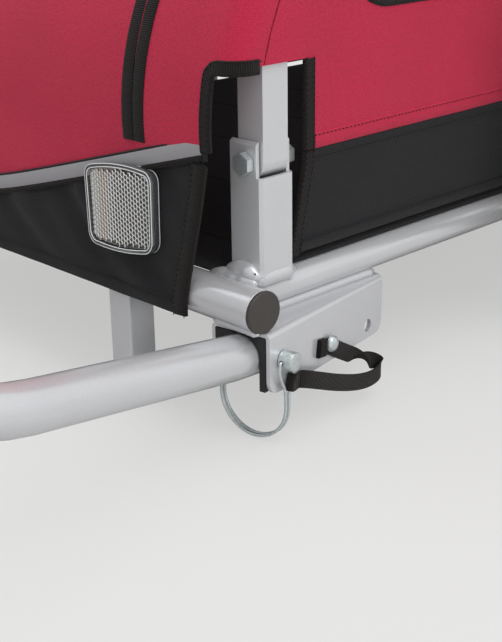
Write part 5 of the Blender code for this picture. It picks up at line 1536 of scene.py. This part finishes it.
class TRAILER_OT_hitch(bpy.types.Operator):
    """Rubber joint and drop pin of the hitch"""
    bl_idname = "trailer.hitch"
    bl_label = "Hitch"

    def execute(self, context):
        """Makes them."""
        hitch_joint()
        drop_pin()
        return {"FINISHED"}


# Cabin

def rounded(corners, radius, steps=7):
    """A loop with its corners rounded, to one radius or one each."""
    result, count = [], len(corners)
    for i, corner in enumerate(corners):
        here = Vector(corner[:2])
        r = radius[i] if isinstance(radius, (list, tuple)) else radius
        before = (Vector(corners[i - 1][:2]) - here).normalized()
        after = (Vector(corners[(i + 1) % count][:2]) - here).normalized()
        if r <= 0 or abs(before.dot(after)) > 0.9999:
            result.append(here)
            continue
        half = before.angle(after) / 2
        start, end = here + before * r / math.tan(half), here + after * r / math.tan(half)
        middle = here + (before + after).normalized() * r / math.sin(half)
        result += [middle + (start - middle).lerp(end - middle, k / steps).normalized() * r
                   for k in range(steps + 1)]
    return result


def fold(obj, side, kind):
    """Puts a piece's placement into its mesh."""
    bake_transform(obj)
    return obj


def mirrored(path, side):
    """A path of (u, v) on the other side."""
    return [(side * p[0], p[1]) for p in path]


def beside(path, distance):
    """A path moved aside by a distance in its own plane."""
    points = [Vector(p[:2]) for p in path]
    result = []
    for i, p in enumerate(points):
        along = (points[min(i + 1, len(points) - 1)] - points[max(i - 1, 0)]).normalized()
        result.append(p + Vector((-along.y, along.x)) * distance)
    return result


def trimmed(name, wrap, path, body, width=None, thick=0.0030, closed=False, folds=None):
    """A binding tape along a path and its two rows of stitches."""
    width = width or sizes().tape_width
    path = [Vector(p[:2]) for p in path]
    edging = tape(name, wrap, path, width, thick, "webbing", body, closed=closed)
    loop = path + path[:1] if closed else path
    rows = [beside(loop, s * (width / 2 - 0.0014)) for s in (-1, 1)]
    sewn = stitches("stitches_" + name, wrap, rows, body, thick / 2 + 0.0001)
    if folds:
        fold(edging, *folds)
        fold(sewn, *folds)


def soft(seed, depth=0.0016):
    """Relief of taut cloth that still sags and ripples a little."""
    return lambda u, v: depth * (noise.noise(Vector((u * 7, v * 7, seed)))
                                 + 0.35 * noise.noise(Vector((u * 21, v * 21, seed))))


def seam_low(u):
    """Bottom edge of the upper front panel."""
    return band_height(min(abs(u), LOWER_HALF)) + 0.0006


def crown(u):
    """Top edge of the upper front panel, under the roof."""
    return FRAME_TOP + 0.0399 - 0.0398 * clamp((abs(u) - CROWN_START) / 0.016)


def lower_panel():
    """The black lower front panel with its hem, side bindings and the seam along its top."""
    edge = [(0.241, 0.0), (0.247, 0.030), (0.253, 0.060), (0.2575, 0.0895)]
    left = [(0.238, PANEL_FOOT)] + edge
    right = mirrored(left, -1)[::-1]
    top = [(u, band_height(u) - SEAM_GAP) for u in [LOWER_HALF * (1 - k / 12) for k in range(25)]]
    foot = [(u, PANEL_FOOT - 0.0008 * noise.noise(Vector((u * 30, 0, 1))))
            for u in [-0.2 + 0.4 * k / 16 for k in range(17)]]
    cloth("front_lower_cloth", [right + foot + left + top], lower_front, "black_fabric", "base",
          ["front_lower_panel"], lower_folds, pitch=0.0068)
    hem = [(u, PANEL_FOOT + 0.005) for u in [-0.234 + 0.468 * k / 30 for k in range(31)]]

    def folded(u, v):
        return lower_front(u, v) + Vector((0, -lower_folds(u, v), 0))

    tape("front_hem", folded, hem, 0.0100, 0.0018, "black_fabric", "base")
    stitches("stitches_front_hem", folded, [[(u, v + 0.0036) for u, v in hem]], "base", 0.0014)
    for side in (1, -1):
        inset = [(0.2355, -0.0125)] + [(u - 0.0055, v) for u, v in edge]
        trimmed("front_binding_" + side_name(side), lower_front, mirrored(smooth_2d(inset), side), "base")
    seam = [(u, band_height(u)) for u in [-0.2540 + 0.5080 * k / 66 for k in range(67)]]
    for side in (1, -1):
        corner = mirrored([(0.2180, 0.0930), (0.2300, 0.0955), (0.2440, 0.0970), (0.2596, 0.0985)], side)
        tape("front_corner_" + side_name(side), lower_front, corner, 0.0110, 0.0010, "black_fabric", "base",
             lift=0.0014)
    tape("front_band", lower_front, seam, sizes().band_width, 0.0014, "band", "base", lift=0.0016)
    for tag, shift, radius, key in (("lower", -0.0066, 0.0016, "thread"),
                                    ("upper", 0.0058, 0.0008, "black_plastic")):
        points = [lower_front(p.x, p.y) + Vector((0, -0.0012, 0)) for p in beside(seam, shift)]
        piece("front_welt_" + tag, mesh_from("welt", tube(spaced(points, 0.004), radius, 10)), key, "base")
    stitches("stitches_front_band", lower_front, [beside(seam, -0.0100)], "base", 0.0010)


def smooth_2d(path):
    """A smooth curve through (u, v) points."""
    return [Vector(p[:2]) for p in smooth_route([(u, v, 0) for u, v in path], 6)]


def upper_panel(side):
    """One half of the red upper front panel: window flap, edge strip, zip and trim."""
    name = side_name(side)
    half, low, high = FRONT_WINDOW
    cut = rounded([(0, low), (half, low), (half, high), (0, high)], [0, 0.040, 0.040, 0])
    bottom = [(FLAP_HALF * k / 10, seam_low(FLAP_HALF * k / 10)) for k in range(11)]
    flap = bottom + [(FLAP_HALF, crown(0)), (0, crown(0))] + cut[::-1]
    fold(cloth("front_flap_" + name, [mirrored(flap, side)], upper_front, "red_fabric", None,
               ["front_upper_panel"], soft(1.0)), side, "front")
    pane = [(p.x - 0.0006 if p.x > 0.001 else 0, p.y) for p in cut]
    fold(cloth("front_window_mesh_" + name, [mirrored(pane, side)], upper_front, "mesh_fabric", None,
               ["front_window"]), side, "front")
    trimmed("front_window_binding_" + name, upper_front, mirrored(cut, side), None, 0.012,
            folds=(side, "front"))
    wrap_end = RAIL_X + PANEL_OUT - SHOULDER + SHOULDER * math.pi / 2 + SIDE_WRAP
    strip = [(u, seam_low(u)) for u in (FLAP_HALF, 0.2095, LOWER_HALF, CUTOUT_EDGE)]
    strip += [(CUTOUT_EDGE, CUTOUT_TOP), (wrap_end, CUTOUT_TOP), (wrap_end, FRAME_TOP + 0.0001),
              (RAIL_X, FRAME_TOP + 0.0001), (CROWN_START, crown(0)), (FLAP_HALF, crown(0))]
    fold(cloth("front_edge_" + name, [mirrored(strip, side)], upper_front, "red_fabric", None,
               ["front_upper_panel"], soft(2.0, 0.0008), pitch=0.0055), side, "edge")
    zip_top = crown(0) - 0.004
    steps = [seam_low(FLAP_HALF) + 0.012 + k * 0.02 for k in range(16)]
    for row, shift, kind in (("inner", -0.0056, "front"), ("outer", 0.0056, "edge")):
        lane = [(FLAP_HALF + shift, v) for v in [v for v in steps if v < zip_top] + [zip_top]]
        zip_tape = tape(f"zip_tape_{row}_{name}", upper_front, mirrored(lane, side), 0.0105, 0.0012,
                        "webbing", None, 0.0010)
        fold(zip_tape, side, kind)
    corner = [(CUTOUT_EDGE, seam_low(LOWER_HALF) + 0.004), (CUTOUT_EDGE, CUTOUT_TOP - 0.004),
              (CUTOUT_EDGE + 0.004, CUTOUT_TOP), (wrap_end - 0.004, CUTOUT_TOP)]
    trimmed("cutout_binding_" + name, upper_front, mirrored(corner, side), None, 0.0095, 0.0028,
            folds=(side, "edge"))


class TRAILER_OT_cabin_front(bpy.types.Operator):
    """Lower front panel, band, window flap, zips and bindings"""
    bl_idname = "trailer.cabin_front"
    bl_label = "Cabin front"

    def execute(self, context):
        """Makes them."""
        lower_panel()
        for side in (1, -1):
            upper_panel(side)
        return {"FINISHED"}


def side_cloths(side):
    """Skirt, side panel and window of one side, with their bindings."""
    name, wall, low_wall = side_name(side), side_wall(side), skirt_wall(side)
    frame_body = "frame_" + name
    rear_cut = BASE_LENGTH - CUTOUT_BACK
    seam = SEAM if side > 0 else PIVOT_HEIGHT[side] + RIGHT_SEAM_RISE

    def level_line(height):
        return mirrored([(CUTOUT_BACK + 0.006, height), (rear_cut - 0.006, height)], side)

    def ripple(u, v):
        calm = clamp((seam - v) / 0.02) * min(1.0, abs(abs(u) - AXLE_BACK) / 0.08)
        return 0.0016 * noise.noise(Vector((u * 9, v * 5, 7.0 + side))) * calm

    skirt = [(CUTOUT_BACK, SKIRT_FOOT), (rear_cut, SKIRT_FOOT), (rear_cut, seam - SEAM_GAP),
             (CUTOUT_BACK, seam - SEAM_GAP)]
    cloth("side_skirt_cloth_" + name, [mirrored(skirt, side)], low_wall, "black_fabric", "base",
          ["side_skirt_" + name], ripple)
    heights = (CUTOUT_TOP + 0.0001, 0.17, 0.20, 0.26, 0.34, FRAME_TOP)
    front = [(front_back(z) + SHOULDER + SIDE_WRAP + 0.0005, z) for z in heights]
    panel = [(CUTOUT_BACK, seam), (rear_cut, seam), (rear_cut, CUTOUT_TOP), (CLOTH_REAR, CUTOUT_TOP),
             (CLOTH_REAR, FRAME_TOP)] + front[::-1] + [(CUTOUT_BACK, CUTOUT_TOP)]
    low, high, front_inset, rear_inset, radius = SIDE_WINDOW
    window_rear = BASE_LENGTH - rear_inset
    window = rounded([(front_back(low) + front_inset, low), (window_rear, low), (window_rear, high),
                      (front_back(high) + front_inset, high)], radius)
    window = mirrored(window, side)
    cloth("side_cloth_" + name, [mirrored(panel, side), window], wall, "red_fabric", frame_body,
          ["side_panel_" + name], soft(4.0 + side, 0.0012))
    cloth("side_mesh_" + name, [window], wall, "mesh_fabric", frame_body, ["side_window_" + name])
    trimmed("side_window_binding_" + name, wall, window, frame_body, 0.012, closed=True)
    for tag, back in (("front", CUTOUT_BACK + 0.0008), ("rear", rear_cut - 0.0008)):
        lower = [(back, SKIRT_FOOT - 0.001 + k * (seam - SKIRT_FOOT) / 6) for k in range(7)]
        trimmed(f"skirt_binding_{tag}_{name}", low_wall, mirrored(lower, side), "base", 0.0094, 0.0032)
        upper = [(back, seam + 0.0005 + k * (CUTOUT_TOP - seam - 0.001) / 6) for k in range(7)]
        trimmed(f"side_binding_{tag}_{name}", wall, mirrored(upper, side), frame_body, 0.0094, 0.0032)
    hem, sewing = SKIRT_FOOT + 0.0052, 0.0038
    tape("skirt_hem_" + name, low_wall, level_line(hem), 0.0100, 0.0024, "black_fabric", "base", pitch=0.01)
    stitches("stitches_skirt_hem_" + name, low_wall, [level_line(hem + sewing)], "base", 0.0014)
    stitches("stitches_skirt_seam_" + name, low_wall, [level_line(seam - 0.006)], "base", 0.0008)
    hem = seam + 0.005
    tape("side_hem_" + name, wall, level_line(hem), 0.0100, 0.0022, "red_fabric", frame_body, pitch=0.01)
    stitches("stitches_side_hem_" + name, wall, [level_line(hem + sewing)], frame_body, 0.0013)


class TRAILER_OT_cabin_sides(bpy.types.Operator):
    """Skirts, side panels, side windows and their bindings"""
    bl_idname = "trailer.cabin_sides"
    bl_label = "Cabin sides"

    def execute(self, context):
        """Makes them."""
        for side in (1, -1):
            side_cloths(side)
        return {"FINISHED"}


def roof_half(side):
    """One half of the roof with its share of the hatch."""
    name = side_name(side)
    flat = ROOF_HALF - ROOF_RADIUS
    reach = flat + ROOF_RADIUS * math.pi / 2 + (ROOF_TOP - ROOF_RADIUS - ROOF_HEM)
    front = front_back(ROOF_TOP) + 0.0039
    wide, start, end, corner = HATCH
    cut = rounded([(0, start), (wide, start), (wide, end), (0, end)], [0, corner, corner, 0])
    outline = [(0, front), (reach, front), (reach, CLOTH_REAR), (0, CLOTH_REAR)] + cut[::-1]
    bends = [side * (flat + ROOF_RADIUS * math.pi / 2 * k / 6) for k in range(7)]
    fold(cloth("roof_cloth_" + name, [mirrored(outline, side)], roof_surface, "red_fabric", None,
               ["roof_panel"], roof_sag, lines=bends), side, "roof")
    trimmed("hatch_binding_" + name, roof_surface, mirrored(cut, side), None, 0.013, folds=(side, "roof"))
    hem = [(reach - 0.005, front + 0.003 + (CLOTH_REAR - front - 0.006) * k / 20) for k in range(21)]
    trimmed("roof_hem_" + name, roof_surface, mirrored(hem, side), None, 0.0095, 0.0024, folds=(side, "roof"))


def roof_sag(u, v):
    """The roof dips a little between its frames and keeps still at its edges."""
    across = max(0.0, 1 - (abs(u) / 0.25) ** 2)
    edge = clamp((0.255 - abs(u)) / 0.03)
    return -0.0008 * across + 0.0012 * noise.noise(Vector((u * 8, v * 8, 9.0))) * edge


class TRAILER_OT_roof(bpy.types.Operator):
    """Roof with its hatch, rear door and floor"""
    bl_idname = "trailer.roof"
    bl_label = "Roof, rear door and floor"

    def execute(self, context):
        """Makes them."""
        for side in (1, -1):
            roof_half(side)
        rear_door()
        floor_sheet()
        return {"FINISHED"}


def rear_door():
    """Rear door, bound all round."""
    half, low, high, inset = 0.281, 0.006, ROOF_TOP - 0.002, 0.006

    def outline(gap, foot_radius, head_radius):
        corners = [(-half + gap, low + gap), (half - gap, low + gap), (half - gap, high - gap),
                   (-half + gap, high - gap)]
        return rounded(corners, [foot_radius, foot_radius, head_radius, head_radius])

    cloth("rear_door_cloth", [outline(0, 0.004, 0.020)], rear_wall, "red_fabric", "door", ["rear_door"],
          soft(11.0))
    trimmed("rear_door_binding", rear_wall, outline(inset, 0.003, 0.015), "door", 0.012, 0.0028, closed=True)


def floor_sheet():
    """Floor laid on the rails, with quilting seams across it."""
    edge, post, wide, narrow = 0.0085, 0.0458, 0.2665, 0.249
    quarter = [(narrow, edge), (narrow, post), (wide, post)]
    left = quarter + [(x, BASE_LENGTH - y) for x, y in quarter[::-1]]
    outline = left + mirrored(left, -1)[::-1]

    def level(u, v):
        return at(u, v, RAIL_RADIUS + 0.0016)

    cloth("floor_cloth", [outline], level, "black_fabric", "base", ["floor_sheet"], pitch=0.02)
    rows = [[(-0.24, 0.06 + 0.11 * k), (0.24, 0.06 + 0.11 * k)] for k in range(7)]
    stitches("stitches_floor", level, rows, "base", 0.0008)


# Reflectors

def reflector_frame(side):
    """A reflector's own plane: X across, Y up, Z outwards from its middle."""
    surface = REFLECTOR_BACK + REFLECTOR_Z * math.tan(PANEL_LEAN)
    middle = Matrix.Translation(at(side * REFLECTOR_X, surface - REFLECTOR_THICK / 2, REFLECTOR_Z))
    upright = Matrix.Rotation(math.pi / 2 - PANEL_LEAN, 4, "X")
    return middle @ upright @ Matrix.Rotation(side * REFLECTOR_TURN, 4, "Z")


def barrel(inset):
    """A reflector's outline: straight sides, bowed top and bottom, drawn in by an inset."""
    wide, high, bow = 0.035 - inset, 0.0295 - inset, 0.0036
    foot, shoulder = wide * 0.960, high - bow
    corner = max(0.0015, 0.0075 - inset)
    square = rounded([(-foot, -high + bow * (foot / wide) ** 2), (foot, -high + bow * (foot / wide) ** 2),
                      (wide, shoulder), (-wide, shoulder)], [corner, corner, corner * 0.8, corner * 0.8], 6)
    lifted = []
    for p in square:
        share = 1 - min(1.0, abs(p.x) / wide) ** 2
        rise = bow * share * (1 if p.y > 0 else -1) * min(1.0, abs(p.y) / shoulder * 1.02)
        lifted.append((p.x, p.y + rise))
    loop = []
    for x, y in dense(lifted, 0.003):
        if abs(y) >= shoulder * 0.93 and abs(x) <= wide * 0.80:
            y = math.copysign(high - bow * (x / wide) ** 2, y)
        loop.append((x, max(-high, min(high, y))))
    return loop


def slab(loop, low, high, matrix, hole=None):
    """A flat block between two heights, or a ring if it has a hole of as many points."""
    bm = bmesh.new()
    rings = [[bm.verts.new((x, y, z)) for x, y in loop] for z in (low, high)]
    inner = [[bm.verts.new((x, y, z)) for x, y in hole] for z in (low, high)] if hole else None
    count = len(loop)
    for k in range(count):
        bm.faces.new((rings[0][k - 1], rings[0][k], rings[1][k], rings[1][k - 1]))
        if inner:
            bm.faces.new((inner[0][k], inner[0][k - 1], inner[1][k - 1], inner[1][k]))
            for level in (0, 1):
                bm.faces.new((rings[level][k - 1], rings[level][k], inner[level][k], inner[level][k - 1]))
    if not inner:
        bm.faces.new(rings[0])
        bm.faces.new(rings[1])
    bmesh.ops.recalc_face_normals(bm, faces=bm.faces)
    bmesh.ops.transform(bm, matrix=matrix, verts=bm.verts)
    return bm


def even(loop, count):
    """A loop resampled to a number of points."""
    points = [Vector((x, y, 0)) for x, y in loop]
    total = sum((a - b).length for a, b in zip(points, points[1:] + points[:1]))
    return [(p.x, p.y) for p in spaced(points, total / count, closed=True)][:count]


def reflector(side):
    """Clear block with a bright rim, its edges lined with painted highlight, a dark groove and a field of
    prisms on a gently bowed face.
    """
    name, matrix = side_name(side), reflector_frame(side)
    outer, inner, field = (even(barrel(i), 120) for i in (0.0, 0.0021, 0.0031))
    node = "front_reflector_" + name
    # Thin near-white tubes along the rim's front, inner and back edges: painted highlights.
    for tag, loop, level in (("front", outer, 0.0033), ("inner", inner, 0.0034), ("back", outer, -0.0034)):
        points = [matrix @ Vector((x * 0.995, y * 0.995, level)) for x, y in loop]
        edge = mesh_from("edge", tube(points, 0.00032, 8, closed=True), 80)
        piece(f"reflector_edge_{tag}_{name}", edge, "painted_edge_highlight", "base", [node])
    rim_mesh = eased("reflector_rim", slab(outer, -REFLECTOR_THICK / 2, 0.0036, matrix, inner), 0.0007, 3)
    piece("reflector_rim_" + name, rim_mesh, "clear_plastic", "base", [node])
    back = mesh_from("back", slab(even(barrel(0.0010), 120), -0.0034, -0.0004, matrix))
    piece("reflector_back_" + name, back, "black_plastic", "base", [node])
    bed = eased("bed", slab(field, -0.0010, 0.0012, matrix), 0.0004)
    piece("reflector_bed_" + name, bed, "prisms", "base", [node])
    pitch, points, outs = sizes().prism, [], []
    for i in range(-12, 13):
        for j in range(-10, 11):
            x, y = i * pitch * 0.88, (j + 0.5 * (i % 2)) * pitch
            if inside(field, x, y, pitch * 0.42):
                points.append(matrix @ Vector((x, y, 0.0013 + 0.0009 * (1 - (x / 0.033) ** 2))))
                outs.append(matrix.to_3x3() @ Vector((x * 3.6, 0, 1)).normalized())
    source = bpy.data.meshes.new("prism_seats")
    source.from_pydata(points, [], [])
    held = source.attributes.new("out", "FLOAT_VECTOR", "POINT")
    for i, out in enumerate(outs):
        held.data[i].vector = out
    mesh = repeated("prisms", source, "prisms", {"Width": pitch * 0.56, "Tip": pitch * 0.43,
                                                 "Height": pitch * 0.18, "Finish": finish("prisms")})
    mesh.shade_flat()
    piece("reflector_prisms_" + name, mesh, "prisms", "base", [node])


class TRAILER_OT_reflectors(bpy.types.Operator):
    """Both front reflectors"""
    bl_idname = "trailer.reflectors"
    bl_label = "Reflectors"

    def execute(self, context):
        """Makes them."""
        for side in (1, -1):
            reflector(side)
        return {"FINISHED"}


def main():
    """Makes the whole trailer and its stage."""
    register()
    for operator in OPERATORS:
        group, name = operator.bl_idname.split(".")
        getattr(getattr(bpy.ops, group), name)()


class TRAILER_PT_panel(bpy.types.Panel):
    """Lists the steps, sizes and colours"""
    bl_idname = "TRAILER_PT_panel"
    bl_label = "Dog bike trailer"
    bl_space_type = "VIEW_3D"
    bl_region_type = "UI"
    bl_category = "Trailer"

    def draw(self, context):
        """Draws the panel."""
        for operator in OPERATORS:
            self.layout.operator(operator.bl_idname)
        for group in (context.scene.trailer_sizes, context.scene.trailer_colours):
            for name in group.__annotations__:
                self.layout.prop(group, name)


OPERATORS = [TRAILER_OT_stage, TRAILER_OT_metalwork, TRAILER_OT_welds, TRAILER_OT_lock,
             TRAILER_OT_cabin_front, TRAILER_OT_cabin_sides, TRAILER_OT_roof, TRAILER_OT_reflectors,
             TRAILER_OT_wheels, TRAILER_OT_hitch]
CLASSES = [TrailerColours, TrailerSizes, *OPERATORS, TRAILER_PT_panel]


def register():
    """Registers the classes and the scene's settings."""
    for cls in CLASSES:
        bpy.utils.register_class(cls)
    bpy.types.Scene.trailer_colours = bpy.props.PointerProperty(type=TrailerColours)
    bpy.types.Scene.trailer_sizes = bpy.props.PointerProperty(type=TrailerSizes)


def unregister():
    """Removes them again."""
    del bpy.types.Scene.trailer_sizes
    del bpy.types.Scene.trailer_colours
    for cls in reversed(CLASSES):
        bpy.utils.unregister_class(cls)


if __name__ == "__main__":
    main()
